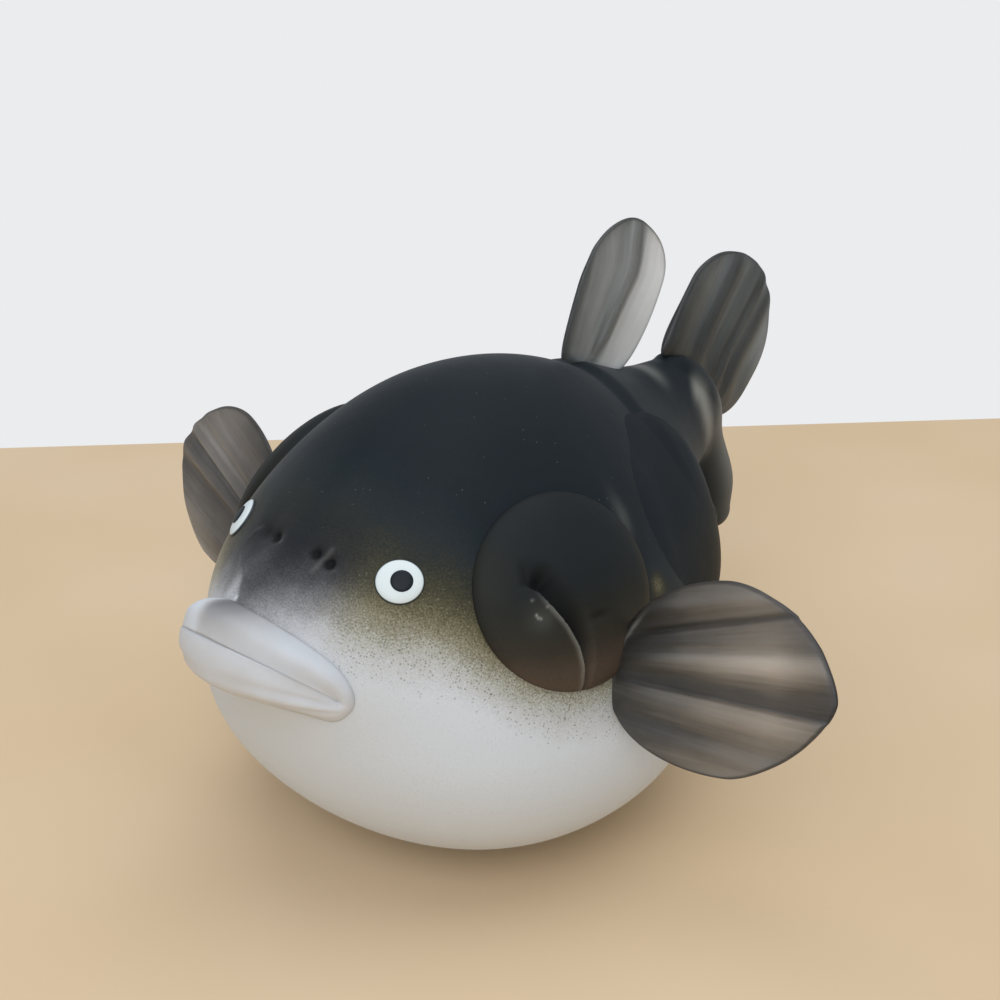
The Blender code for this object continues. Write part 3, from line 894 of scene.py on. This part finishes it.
@dataclass
class FlankPad:
    """A round gather of dark glass pressed on the flank."""

    name: str
    kind: PadKind
    near: tuple[float, float, float]
    mesh: tuple[int, int] = (288, 144)           # segments and rings of the ball it starts from
    crown: float = 2.6           # how far its middle stands over its rim
    rim: float = 1.5             # how far its rim stands over the skin
    sink: float = 1.5
    # The comma-shaped crease of the front pad: its line, forward and up from the pad's middle.
    crease: tuple = ((-11.8, 3.2), (-10.2, 2.9), (-8.5, 1.6), (-6.8, -2.0), (-5.3, -5.2),
                     (-3.9, -9.4), (-3.4, -13.0), (-3.6, -16.3), (-4.0, -18.5))
    # Chips of glass beside it: place and size.
    chips: tuple = ((-10.1, -2.0, 1.0), (-9.9, -2.5, 0.9), (-9.5, -2.8, 0.7), (-10.2, 0.6, 0.5),
                    (-8.0, -1.2, 0.4))

    @property
    def side(self) -> float:
        """1 on the left flank, -1 on the right."""
        return math.copysign(1.0, self.near[0])

    def height(self, flat: Array, share: Array) -> Array:
        """Height of the outer face over the skin."""
        flat = flat * (self.side, 1.0)
        edge = np.sqrt(np.clip(1.0 - share ** 10, 0.0, 1.0))
        if self.kind is PadKind.FRONT:
            return self.rim * edge + self.crown * (1.0 - share ** 2) + self.comma(flat)[0] * edge
        # Pressed hard in front and puffed up behind, so that its front rim melts into the flank.
        half_width, half_height = self.kind.value
        behind = ease(flat[:, 0] / half_width - 0.35 * flat[:, 1] / half_height, -0.55, 0.92)
        puff = self.crown * (1.0 - share ** 2.6) * (0.3 + 0.95 * behind)
        bump = 0.5 * bell(gap_to(flat, (12.5, -7.0)), 1.0)
        return 1.7 * self.rim * behind * edge - 0.3 + puff + bump

    def comma(self, flat: Array) -> tuple[Array, Array, Array]:
        """The comma-shaped crease that the tool left in the front pad.

        Args:
            flat: Flat places on the pad.

        Returns:
            The crease's height, how far the hollow shades it and how far its lip catches the light.
        """
        _, side, share = beside_line(flat, np.array(self.crease))
        wide = 5.8 * (1.0 - 0.7 * ease(share, 0.3, 1.0))
        inside = ease(side, -0.2, 0.5) * (1.0 - ease(side / wide, 0.2, 1.0))
        hollow = inside * 2.0 * ease(share, 0.0, 0.2) * (1.0 - 0.6 * ease(share, 0.5, 1.0))
        ridge = bell(side + 0.35, 0.27) * ease(share, 0.1, 0.35)
        below = gap_to(flat, (-9.6, -2.4))
        chips = sum(size * bell(gap_to(flat, spot), 0.17) for *spot, size in self.chips)
        second = bell(gap_to(flat, (1.5, -5.6), (0.35, 1.0)), 0.5)
        height = 0.5 * ridge - hollow - 0.6 * bell(below, 1.2) + 0.3 * chips - 0.3 * second
        fading = 1.0 - 0.75 * ease(share, 0.5, 0.85)
        shade = 0.95 * inside * ease(share, 0.0, 0.12) * fading + 0.4 * second
        glint = 0.36 * ridge * (1.0 - 0.4 * ease(share, 0.7, 1.0))
        lit = glint + 0.8 * chips + 0.08 * bell(below, 1.8)
        return height, np.clip(shade, 0.0, 1.0), np.clip(lit, 0.0, 1.0)

    def build(self, material: Material) -> Piece:
        """Lays the pad on the flank and marks its tone, with painted light through its thinning
        rims, and its crease.
        """
        pad = ball(self.name, *self.mesh)
        ball_points = points_of(pad)
        half_width, half_height = self.kind.value
        lay_on(pad, Placement(self.near), half_width, half_height, self.height, self.sink)
        back, up = ball_points[:, 0] * self.side, ball_points[:, 1]
        # Painted light through the thinning glass: browner towards the lower rim, and on the front
        # pad also paler at its rear and front edges; the rear pad keeps the flank's own colour at
        # its front.
        tone = 0.12 + 0.88 * ease(-up, -0.1, 0.95)
        if self.kind is PadKind.FRONT:
            _, shade, lit = self.comma(ball_points[:, :2] * (half_width * self.side, half_height))
            tone = tone + 0.3 * ease(back, 0.75, 1.0) + 0.15 * ease(-back, 0.4, 0.9)
        else:
            shade = lit = np.zeros(len(back))
            tone = 0.5 * tone * ease(back, -0.8, 0.2)
        set_mark(pad, "tone", np.clip(tone, 0.0, 1.0))
        set_mark(pad, "shade", shade)
        set_mark(pad, "lit", lit)
        face_outwards(pad)
        dress(pad, material, "dark_glass", self.name)
        return pad


@dataclass
class Eye:
    """A white button with a black one on it."""

    side: float
    near: tuple[float, float, float] = (20.4, -37.6, 68.5)
    mesh: tuple[int, int] = (96, 48)             # segments and rings of the ball it starts from
    pupil_mesh: tuple[int, int] = (64, 32)
    radius: float = 4.35
    flatness: float = 0.92
    height: float = 0.75
    sink: float = 0.6
    pupil_radius: float = 1.98
    pupil_flatness: float = 0.96
    pupil_forward: float = 0.4
    pupil_sink: float = 0.1

    def white_height(self, _: Array, share: Array) -> Array:
        """Height of the white button over the skin."""
        edge = np.sqrt(np.clip(1.0 - share ** 6, 0.0, 1.0))
        return self.height * edge + 0.15 * (1.0 - share ** 2)

    def pupil_height(self, _: Array, share: Array) -> Array:
        """Height of the black button over the skin."""
        return self.height + 0.12 + 0.3 * np.sqrt(np.clip(1.0 - share ** 4, 0.0, 1.0))

    def build(self, white: Material, black: Material) -> None:
        """Lays both buttons on the cheek."""
        label = "left" if self.side > 0 else "right"
        place = Placement((self.near[0] * self.side, self.near[1], self.near[2]))
        disc = ball("eye_white_" + label, *self.mesh)
        ball_points = points_of(disc)
        share = np.hypot(ball_points[:, 0], ball_points[:, 1])
        lay_on(disc, place, self.radius, self.radius * self.flatness, self.white_height, self.sink)
        # Painted shade: the face darkens to a dark rim at its edge, where it meets the skin.
        face = 1.0 - ease(share, 0.93, 0.97)
        set_mark(disc, "tone", np.where(ball_points[:, 2] >= 0.0, face, 0.0))
        face_outwards(disc)
        dress(disc, white, "white_glass", "eye_" + label)

        spot, across, _, _ = place.axes()
        moved = Placement(tuple(spot + across * self.pupil_forward * self.side))
        pupil = ball("pupil_" + label + "_button", *self.pupil_mesh)
        lay_on(pupil, moved, self.pupil_radius, self.pupil_radius * self.pupil_flatness,
               self.pupil_height, self.pupil_sink)
        set_mark(pupil, "tone", np.full(len(pupil.data.vertices), 0.5))
        face_outwards(pupil)
        dress(pupil, black, "black_glass", "pupil_" + label)


@dataclass
class Mouth:
    """The lips, one soft roll of clear glass with the mouth pressed into it."""

    # Round the mouth from the top middle over the corner to the bottom middle, left side:
    # angle, outer border (x, y, z), mouth line (x, y, z), bulge, where it bulges most.
    table: tuple = (
        (90.0, (0.0, -57.2, 65.2), (0.0, -65.2, 62.0), 2.7, 0.55),
        (75.0, (4.0, -56.4, 64.2), (4.3, -64.6, 61.4), 2.6, 0.55),
        (60.0, (8.3, -54.2, 61.8), (9.0, -62.4, 59.4), 2.2, 0.55),
        (45.0, (12.9, -52.1, 59.1), (13.5, -58.7, 56.4), 2.0, 0.54),
        (30.0, (17.0, -50.0, 55.8), (16.7, -54.7, 53.1), 1.6, 0.52),
        (15.0, (19.2, -48.9, 52.5), (17.7, -52.3, 51.0), 1.15, 0.5),
        (0.0, (19.9, -48.6, 49.5), (17.9, -51.3, 49.9), 0.85, 0.5),
        (-20.0, (18.6, -49.1, 46.3), (17.5, -52.1, 50.8), 0.9, 0.5),
        (-40.0, (15.7, -50.4, 44.5), (15.5, -56.0, 54.2), 1.6, 0.52),
        (-55.0, (12.0, -51.9, 44.7), (12.6, -59.6, 57.1), 2.7, 0.54),
        (-72.0, (7.4, -53.7, 45.3), (7.3, -63.4, 60.3), 3.9, 0.56),
        (-90.0, (0.0, -55.7, 46.3), (0.0, -65.1, 61.7), 4.5, 0.56),
    )
    mesh: tuple[int, int] = (192, 56)            # segments round and across the starting ring
    ring_radius: float = 4.0     # millimetres
    buried: float = 3.0
    shown: float = 0.72          # share of each section's loop that shows

    def ring(self, angle: Array) -> tuple[Array, Array, Array, Array]:
        """Reads the table all round the mouth.

        Args:
            angle: Angles in degrees, 0 at the left corner and 90 at the top.

        Returns:
            The outer border, the mouth line, the bulge and its place, one row an angle.
        """
        rows = sorted(self.table)
        places, columns = [], []
        for turn, outer, inner, bulge, peak in rows:
            places.append(turn)
            columns.append((*outer, *inner, bulge, peak))
        for turn, outer, inner, bulge, peak in sorted(self.table, reverse=True)[1:]:
            places.append(180.0 - turn)
            columns.append((-outer[0], *outer[1:], -inner[0], *inner[1:], bulge, peak))
        places, columns = np.array(places), np.array(columns)
        places = np.concatenate([places[:-1] - 360.0, places[:-1], places + 360.0])
        columns = np.concatenate([columns[:-1], columns[:-1], columns])
        read = np.stack([curve_through(angle, places, column) for column in columns.T], axis=1)
        return read[:, :3], read[:, 3:6], read[:, 6], read[:, 7]

    def section(self, angle: Array, seen: Array, hidden: Array) -> tuple[Array, Array, Array]:
        """Bulges the lips out of the face.

        Args:
            angle: Angles round the mouth in degrees.
            seen: Share of the way from the outer border to the mouth line, in sight.
            hidden: Share of the way back under the skin.

        Returns:
            The points in sight, the points under the skin, and how far left the roll is in sight.
        """
        outer, inner, bulge, peak = self.ring(angle)
        chord = inner - outer
        length = np.linalg.norm(chord, axis=1, keepdims=True)
        slope = unit(FORM.slope((outer + inner) / 2.0))
        swell = unit(slope - chord / length * (slope * chord / length).sum(axis=1, keepdims=True))
        part = seen ** (np.log(peak) / math.log(0.5))
        upper = self.upper(angle)
        upper_power = 1.9 - 0.7 * ease(angle, 15.0, 75.0)
        lower_power = 0.8 + 1.1 * ease(angle, -75.0, -35.0)
        mouth_side = np.where(upper > 0.5, upper_power, lower_power)
        power = np.where(seen < 0.5, 1.15 - 0.45 * upper, mouth_side)
        lift = bulge * np.sin(np.pi * seen) ** power + self.second_roll(angle, seen)
        depth = self.buried * np.sin(np.pi * hidden) ** 0.5
        return (outer + chord * part[:, None] + swell * lift[:, None],
                inner - chord * hidden[:, None] - swell * depth[:, None],
                outer[:, 0] + chord[:, 0] * part)

    def upper(self, angle: Array) -> Array:
        """1 on the upper lip and 0 on the lower one."""
        return ease(angle, -25.0, 15.0) * (1.0 - ease(angle, 165.0, 179.9))

    def tone(self, angle: Array, seen: Array, level: Array) -> Array:
        """How pale the glass is: smoky at the top middle, with painted shade along both of its
        edges and in a patch on the lower lip, and painted light where light comes through.

        Args:
            angle: Angles round the mouth in degrees.
            seen: Share of the way from the outer border to the mouth line.
            level: How far left each place is.

        Returns:
            The tone from 0 to 1.
        """
        upper, corner = self.upper(angle), ease(level, 7.0, 16.0)
        # Painted shade along the upper border and along the mouth line.
        border = np.maximum(0.28 * bell(seen, 0.03) * upper, 0.1 * bell(seen - 1.0, 0.02))
        # The dark casing showing through the clear glass at the top middle.
        smoke = bell(np.minimum(level, 0.0), 1.3) * bell(np.maximum(level, 0.0), 3.2)
        shade = 0.78 * smoke * (1.0 - ease(seen, 0.2, 1.05)) * upper
        # Painted shade in a patch near the lower lip's outer border.
        painted_shade_patch = 0.25 * bell(angle + 60.0, 9.0) * bell(seen - 0.22, 0.09)
        # The upper lip grows paler towards the corner, and is painted lighter just right of its
        # middle, where light comes through the glass.
        upper_clear = 0.73 + 0.15 * ease(level, 0.0, 16.0) + 0.2 * ease(-level, 0.5, 3.0)
        clear = np.where(upper > 0.5, upper_clear, 0.88 + 0.06 * ease(level, 2.0, 14.0))
        # Painted light along the mouth line towards the corners.
        clear = clear + 0.12 * bell(seen - 1.0, 0.06) * corner
        return np.clip(clear * (1.0 - border * (1.0 - 0.8 * corner) - shade - painted_shade_patch), 0.0, 1.0)

    def build(self, material: Material) -> Piece:
        """Draws a ring out into the lips."""
        deselect()
        bpy.ops.mesh.primitive_torus_add(
            major_segments=self.mesh[0], minor_segments=self.mesh[1],
            major_radius=self.ring_radius * MM, minor_radius=MM)
        lips = bpy.context.object
        lips.name = lips.data.name = "lips"
        x, y, z = points_of(lips).T
        angle = np.degrees(np.arctan2(y, x))
        turn = np.mod(np.arctan2(z, np.hypot(x, y) - self.ring_radius), 2.0 * np.pi) / (2.0 * np.pi)
        seen = np.clip(turn / self.shown, 0.0, 1.0)
        hidden = np.clip((turn - self.shown) / (1.0 - self.shown), 0.0, 1.0)
        shown, under, level = self.section(angle, seen, hidden)
        set_points(lips, np.where(turn[:, None] > self.shown, under, shown))
        set_mark(lips, "tone", self.tone(angle, seen, level))
        face_outwards(lips)
        dress(lips, material, "clear_glass", "upper_lip", "lower_lip")
        return lips

    def second_roll(self, angle: Array, seen: Array) -> Array:
        """A shallow groove along the lower lip, which parts a second soft roll from the first."""
        turned = np.where(np.abs(angle) > 90.0, np.copysign(180.0, angle) - angle, angle)
        present = ease(-turned, 18.0, 40.0) * (1.0 - 0.6 * ease(-turned, 60.0, 90.0))
        return -0.45 * (bell(seen - 0.66, 0.06) + 0.7 * bell(seen - 0.4, 0.07)) * present


@dataclass(frozen=True)
class Side:
    """One side of a fin's outline: half width at the root, at its widest, where, and how full."""

    root: float
    widest: float
    peak: float
    fullness: float

    def half(self, share: Array) -> Array:
        """Half width at a share of the fin's length."""
        opening = np.sqrt(np.clip(1.0 - (1.0 - share / self.peak) ** 2, 0.0, 1.0))
        beyond = np.clip((share - self.peak) / (1.0 - self.peak), 0.0, 1.0)
        closing = (1.0 - beyond ** self.fullness) ** (1.0 / self.fullness)
        return np.where(share < self.peak, self.root + (self.widest - self.root) * opening,
                        self.widest * closing)


class Smoke(Enum):
    """The two casts of smoke-grey glass."""

    BROWN = "brown"
    BLUE = "blue"


@dataclass
class Fin:
    """A paddle pressed from smoke-grey glass, pleated by the pincers."""

    name: str
    node: str
    length: float
    upper: Side
    lower: Side
    root: tuple[float, float, float]
    along: Array
    across: Array
    # Pleats: place across at 10 mm and at 36 mm from the root, height and lightness there; the
    # lightness paints the pleats' light and shade.
    pleats: tuple
    smoke: Smoke = Smoke.BROWN
    mesh: tuple[int, int] = (256, 144)           # segments and rings of the ball it starts from
    thick: float = 2.6
    root_thick: float = 4.0
    mirrored: bool = False
    root_dark: float = 0.5       # share of its lightness that the fin has at its root
    tip_dark: float = 0.0        # share of its lightness that it loses towards its tip
    root_glint: float = 0.0      # how bright the painted glint on the upper edge beside the root is
    root_shadow: float = 0.0     # share of its lightness that the upper half loses at the root
    curl: float = 0.0            # how far the pleats turn forward at the tip
    run_length: float = 0.05     # how fast the streaks change along the fin, against across it

    def pleat(self, along: Array, across: Array, column: int) -> Array:
        """Reads the pleats at flat places on the fin.

        Args:
            along: Distances from the root.
            across: Distances to the side of the fin's middle line.
            column: 1 for the place across at 36 mm, 2 for the height, 3 for how light the glass is
                painted, which stands for the light and shade of the pleats.

        Returns:
            The column's value at each place.
        """
        across = across + self.curl * ease(along, 0.62 * self.length, self.length)
        rows = [(row[0] + (row[1] - row[0]) * (along - 10.0) / 26.0, row[column])
                for row in self.pleats]
        total = np.full(len(along), rows[0][1])
        for (low, first), (high, second) in zip(rows, rows[1:]):
            share = np.clip((across - low) / np.maximum(high - low, 0.15), 0.0, 1.0)
            eased = share * share * (3.0 - 2.0 * share)
            total = np.where(across > low, first + (second - first) * eased, total)
        return total

    def build(self, material: Material) -> Piece:
        """Draws a ball out into the fin and marks its tone and the run of its streaks."""
        fin = ball(self.name, *self.mesh)
        a, b, c = points_of(fin).T
        radius = np.clip(np.hypot(a, b), 0.0, 1.0)
        side = np.clip(b / np.sqrt(np.clip(1.0 - a ** 2, 1e-12, 1.0)), -1.0, 1.0)
        share = (1.0 + a) / 2.0
        s = share * self.length
        v = side * np.where(side > 0.0, self.upper.half(share), self.lower.half(share))
        grow = ease(s, 0.0, 9.0) * (1.0 - 0.35 * ease(share, 0.8, 1.0)) * (1.0 - 0.5 * radius ** 8)
        thick = self.thick + (self.root_thick - self.thick) * (1.0 - ease(s, 0.0, 14.0))
        half = thick / 2.0 * np.sqrt(np.clip(1.0 - radius ** 7, 0.0, 1.0))
        n = self.pleat(s, v, 2) * grow + np.where(c >= 0.0, half, -half)
        along = unit(self.along)
        across = unit(self.across - along * (self.across @ along))
        normal = np.cross(along, across)
        points = (np.array(self.root) + s[:, None] * along + v[:, None] * across
                  + n[:, None] * normal)
        set_points(fin, points * (-1.0 if self.mirrored else 1.0, 1.0, 1.0))
        set_mark(fin, "tone", self.tone(s, v, side, radius))
        run = fin.data.attributes.new("run", "FLOAT_VECTOR", "POINT")
        fan = np.stack([self.pleat(s, v, 1) + self.root[0], s * self.run_length,
                        np.zeros(len(s))], axis=1)
        run.data.foreach_set("vector", fan.astype(np.float32).ravel())
        face_outwards(fin)
        dress(fin, material, "smoke_glass", self.node)
        return fin

    def tone(self, s: Array, v: Array, side: Array, radius: Array) -> Array:
        """Painted light and shade of the glass at flat places on the fin.

        Args:
            s: Distances from the root.
            v: Distances to the side of the fin's middle line.
            side: Share of the way to the outline, up or down.
            radius: Share of the way to the rim.

        Returns:
            The tone from 0 to 1.
        """
        light = self.root_dark + (1.0 - self.root_dark) * ease(s, 2.0, 0.75 * self.length)
        light = light * (1.0 - self.tip_dark * ease(s / self.length, 0.72, 0.98))
        # Painted shadow over the upper half near the root.
        shadow = ease(side, 0.2, 0.45) * (1.0 - ease(s, 6.0, 17.0))
        light = light * (1.0 - self.root_shadow * shadow)
        # The pleats' painted light and shade, with a painted dark rim along the outline.
        tone = self.pleat(s, v, 3) * light * (1.0 - 0.55 * ease(radius, 0.955, 0.985))
        # A painted glint on the upper edge beside the root.
        glint = bell(radius - 0.935, 0.014) * ease(side, 0.0, 0.3) * (1.0 - ease(s, 5.0, 10.0))
        return np.clip(tone + self.root_glint * glint, 0.0, 1.0)


def swept(sweep: float, rise: float, lean: float) -> tuple[Array, Array]:
    """Directions along and across a fin that stands out to the left.

    Args:
        sweep: How far it points back, in degrees.
        rise: How far it points up, in degrees.
        lean: How far its top edge leans back, in degrees.

    Returns:
        The directions along and across the fin.
    """
    sweep, rise, lean = np.radians([sweep, rise, lean])
    along = np.array([np.cos(sweep) * np.cos(rise), np.sin(sweep) * np.cos(rise), np.sin(rise)])
    upward = unit(np.array([0.0, 0.0, 1.0]) - along * along[2])
    return along, upward * np.cos(lean) - np.cross(along, upward) * np.sin(lean)


def upright(lean: float) -> tuple[Array, Array]:
    """Directions along and across a fin of the middle plane that leans back from upright."""
    lean = math.radians(lean)
    return np.array([0.0, math.sin(lean), math.cos(lean)]), np.array([0.0, 1.0, 0.0])


def fins() -> list[Fin]:
    """The four paddles with their own outlines and pleats."""
    left_along, left_across = swept(7.22, 12.82, 20.59)
    right_along, right_across = swept(15.77, 10.46, 17.26)
    dorsal_along, rearward = upright(25.44)
    tail_along, _ = upright(42.94)
    broad, narrow = Side(1.45, 19.62, 0.53, 1.76), Side(1.06, 14.74, 0.54, 1.52)
    return [
        Fin("pectoral_paddle_left", "pectoral_fin_left", 44.95, broad, narrow,
            (44.1, -8.0, 45.26), left_along, left_across,
            ((-14.0, -16.0, -0.3, 0.60), (-8.4, -13.2, 0.3, 0.52), (-5.6, -10.6, -0.4, 0.42),
             (-4.6, -8.8, 0.0, 0.46), (-1.9, -5.4, 0.9, 0.66), (-0.3, -3.4, 0.9, 0.66),
             (0.5, -2.3, -0.6, 0.26), (2.0, 0.4, -0.6, 0.32), (5.4, 5.8, 0.8, 0.80),
             (7.2, 8.6, 0.1, 0.50), (7.7, 9.2, 0.3, 0.46), (9.4, 13.2, 0.2, 0.46),
             (9.9, 14.0, -1.0, 0.26), (11.4, 15.4, -0.2, 0.42), (14.5, 17.8, 1.2, 0.56),
             (20.0, 21.0, 0.5, 0.40)),
            root_dark=0.52, tip_dark=0.35, root_glint=0.5, root_shadow=0.5),
        Fin("pectoral_paddle_right", "pectoral_fin_right", 47.8, broad, narrow,
            (42.49, -12.09, 45.82), right_along, right_across,
            ((-14.0, -16.0, 0.2, 0.55), (-9.0, -9.5, 0.5, 0.42), (-4.0, -4.0, -0.3, 0.34),
             (-1.6, -1.8, -0.8, 0.22), (0.2, 1.4, 0.8, 0.46), (1.8, 3.6, -0.8, 0.24),
             (4.0, 6.3, 1.0, 0.66), (6.0, 8.6, -0.1, 0.44), (8.6, 11.0, 0.5, 0.50),
             (10.5, 13.4, 0.0, 0.46), (16.0, 18.0, 0.6, 0.44)),
            mirrored=True, tip_dark=0.2),
        Fin("dorsal_paddle", "dorsal_fin", 32.5, Side(5.05, 14.84, 0.69, 2.08),
            Side(10.99, 13.0, 0.48, 1.86), (0.0, 39.63, 82.94), dorsal_along, rearward,
            ((-12.5, -13.0, -0.3, 0.30), (-9.5, -10.0, 0.4, 0.44), (-5.0, -5.0, 0.5, 0.50),
             (-2.8, 1.0, 0.2, 0.40), (-2.2, 2.6, 0.1, 0.52), (-1.4, 5.0, -0.5, 0.44),
             (-0.7, 5.6, -0.7, 0.33), (2.6, 9.4, 0.4, 0.72), (5.4, 12.0, 0.5, 0.84),
             (9.5, 14.5, 0.3, 0.9)),
            smoke=Smoke.BLUE, root_thick=3.4, root_dark=0.8, curl=4.0),
        Fin("tail_paddle", "tail_fin", 33.54, Side(11.85, 18.64, 0.45, 2.04),
            Side(16.52, 19.03, 0.55, 1.74), (0.0, 75.28, 69.3), tail_along, rearward,
            ((-17.0, -18.0, 0.0, 0.36), (-11.0, -12.4, 0.7, 0.34), (-6.8, -8.2, -0.7, 0.24),
             (-3.0, -3.2, 0.7, 0.30), (0.5, 0.8, 0.0, 0.22), (3.0, 3.4, -0.8, 0.16),
             (6.0, 7.0, 0.7, 0.28), (8.5, 9.4, -0.3, 0.18), (13.0, 13.5, 0.5, 0.40),
             (17.5, 18.5, 0.0, 0.50)),
            smoke=Smoke.BLUE, thick=3.2, root_thick=7.0, root_dark=0.3),
    ]


# ---- studio


@dataclass(frozen=True)
class Softbox:
    """A square lamp that faces the figurine: place and size in metres, power in watts."""

    name: str
    place: tuple[float, float, float]
    size: float
    power: float
    colour: str
    aim: tuple[float, float, float] = (0.0, 0.0, 0.04)

    def build(self) -> None:
        """Hangs the lamp."""
        light = bpy.data.lights.new(self.name, "AREA")
        light.shape = "SQUARE"
        light.size = self.size
        light.energy = self.power
        light.color = linear(self.colour)[:3]
        lamp = bpy.data.objects.new(self.name, light)
        bpy.context.scene.collection.objects.link(lamp)
        lamp.location = self.place
        aim = Vector(self.aim) - lamp.location
        lamp.rotation_euler = aim.to_track_quat("-Z", "Y").to_euler()


@dataclass
class Studio:
    """The table, the pale wall, the lights and the camera."""

    azimuth: float = 42.0
    elevation: float = 23.0
    distance: float = 355.0
    target: tuple[float, float, float] = (0.0, 11.0, 62.9)
    lens: float = 63.9
    nearest: float = 0.01                        # metres from the lens
    wall: str = "#ebecee"
    sky: str = "#edf1f6"
    sky_strength: float = 0.54
    board: OiledBoard = OiledBoard()
    board_edge: tuple = (-135.8, 161.8, 0.0)     # the middle of the table's back edge
    board_facing: tuple = (0.729, -0.685, 0.0)   # from that edge to the front
    board_size: tuple = (3.2, 1.6)               # metres
    # A wide softbox overhead and a large soft key from the right of the camera.
    lamps: tuple[Softbox, ...] = (
        Softbox("softbox_overhead", (0.05, 0.1, 1.2), 1.2, 7.0, "#f6f9ff"),
        Softbox("softbox_key", (0.65, -1.0, 0.9), 1.0, 9.5, "#f8faff"))

    def build(self) -> None:
        """Sets everything round the figurine."""
        self.floor()
        self.world()
        for lamp in self.lamps:
            lamp.build()
        self.camera()
        bpy.context.scene.view_settings.view_transform = "Standard"

    def floor(self) -> None:
        """The plain pale table top, with a straight back edge."""
        deselect()
        width, depth = self.board_size
        inward = Vector(self.board_facing)
        middle = Vector(self.board_edge) * MM + inward * (depth / 2.0)
        bpy.ops.mesh.primitive_plane_add(size=1.0, location=middle)
        table = bpy.context.object
        table.name = "table_top"
        table.scale = (width, depth, 1.0)
        table.rotation_euler = (0.0, 0.0, math.atan2(inward.x, -inward.y))
        bpy.ops.object.transform_apply(location=True, rotation=True, scale=True)
        table.data.materials.append(self.board.build())

    def world(self) -> None:
        """A pale wall for the eye, and a dimmer soft sky for the light."""
        world = bpy.data.worlds.new("pale_room")
        bpy.context.scene.world = world
        world.use_nodes = True
        tree = world.node_tree
        tree.nodes.clear()
        path = add(tree, "ShaderNodeLightPath", {}, {})
        seen = add(tree, "ShaderNodeMath", {"operation": "MAXIMUM"}, {
            0: path.outputs["Is Camera Ray"], 1: path.outputs["Is Transmission Ray"]})
        sky, wall = [add(tree, "ShaderNodeBackground", {}, {
            "Color": linear(code), "Strength": strength}).outputs[0]
            for code, strength in ((self.sky, self.sky_strength), (self.wall, 1.0))]
        mixed = add(tree, "ShaderNodeMixShader", {}, {0: seen.outputs[0], 1: sky, 2: wall})
        add(tree, "ShaderNodeOutputWorld", {}, {"Surface": mixed.outputs[0]})

    def camera(self) -> None:
        """A camera at head height of someone sitting at the table."""
        turn, rise = math.radians(self.azimuth), math.radians(self.elevation)
        back = Vector((math.sin(turn) * math.cos(rise), -math.cos(turn) * math.cos(rise),
                       math.sin(rise)))
        data = bpy.data.cameras.new("camera")
        data.lens = self.lens
        data.clip_start = self.nearest
        camera = bpy.data.objects.new("camera", data)
        bpy.context.scene.collection.objects.link(camera)
        camera.location = (Vector(self.target) + back * self.distance) * MM
        camera.rotation_euler = back.to_track_quat("Z", "Y").to_euler()
        bpy.context.scene.camera = camera


# ---- the whole

# Near-black satin, browner and specked towards its lower rim; the brown is painted light showing
# through the thinning glass.
DARK = MarkedGlass(
    "black_glass_pressed_etched", roughness=0.55, specular=0.12, speck=0.3, creased=True,
    stops=((0.0, "#181f25"), (0.3, "#252622"), (0.7, "#36322a"), (1.0, "#51453b")))
# Grey glass that lets light through in pale and dark streaks: warm at the sides, cool behind.
SMOKES = {smoke: MarkedGlass(
    smoke.value + "_smoke_glass_pincered_etched", roughness=0.45, specular=0.3, see_through=0.8,
    swell=0.1, streak=streak, stops=stops) for smoke, streak, stops in (
        (Smoke.BROWN, 0.085,
         ((0.0, "#272829"), (0.3, "#656463"), (0.6, "#b1afac"), (1.0, "#f2f0ee"))),
        (Smoke.BLUE, 0.06,
         ((0.0, "#1c2224"), (0.3, "#616768"), (0.6, "#a9adae"), (1.0, "#f2f4f5"))))}
# Milky glass that light sinks into, smoky where the dark casing shows through.
CLEAR = MarkedGlass(
    "clear_glass_over_opal_etched", roughness=0.5, specular=0.15, scatter=0.4, scatter_reach=4.0,
    swell=0.1, stops=((0.0, "#5e5e60"), (0.4, "#8f8f90"), (0.65, "#b1b1b2"), (0.8, "#c0c3c6"),
                      (1.0, "#d2d8e0")))
# Clean cool white whose grey rim is painted shade where it meets the skin, a little shinier than
# the glass round it.
WHITE = MarkedGlass(
    "white_enamel_fired", roughness=0.4, specular=0.2, swell=0.05,
    stops=((0.0, "#2a3136"), (0.5, "#8f999b"), (1.0, "#d6e0e1")))
# Blue-black and even.
BLACK = MarkedGlass(
    "black_enamel_fired", roughness=0.42, specular=0.15, swell=0.05,
    stops=((0.0, "#151b21"), (1.0, "#1c242b")))
PADS = (FlankPad("front_pad_left", PadKind.FRONT, (36.3, -11.5, 62.8)),
        FlankPad("front_pad_right", PadKind.FRONT, (-34.2, -9.8, 66.2)),
        FlankPad("rear_pad_left", PadKind.REAR, (30.0, 30.6, 63.4)),
        FlankPad("rear_pad_right", PadKind.REAR, (-30.0, 30.6, 63.4)))


def main() -> None:
    """Builds the studio and every piece."""
    logging.basicConfig(level=logging.INFO, format="%(name)s: %(message)s")
    Studio().build()
    BlownBody().build()
    dark, clear, white, black = [finish.build() for finish in (DARK, CLEAR, WHITE, BLACK)]
    smokes = {smoke: finish.build() for smoke, finish in SMOKES.items()}
    for pad in PADS:
        pad.build(dark)
    for side in (1.0, -1.0):
        Eye(side).build(white, black)
    Mouth().build(clear)
    for fin in fins():
        fin.build(smokes[fin.smoke])


if __name__ == "__main__":
    main()
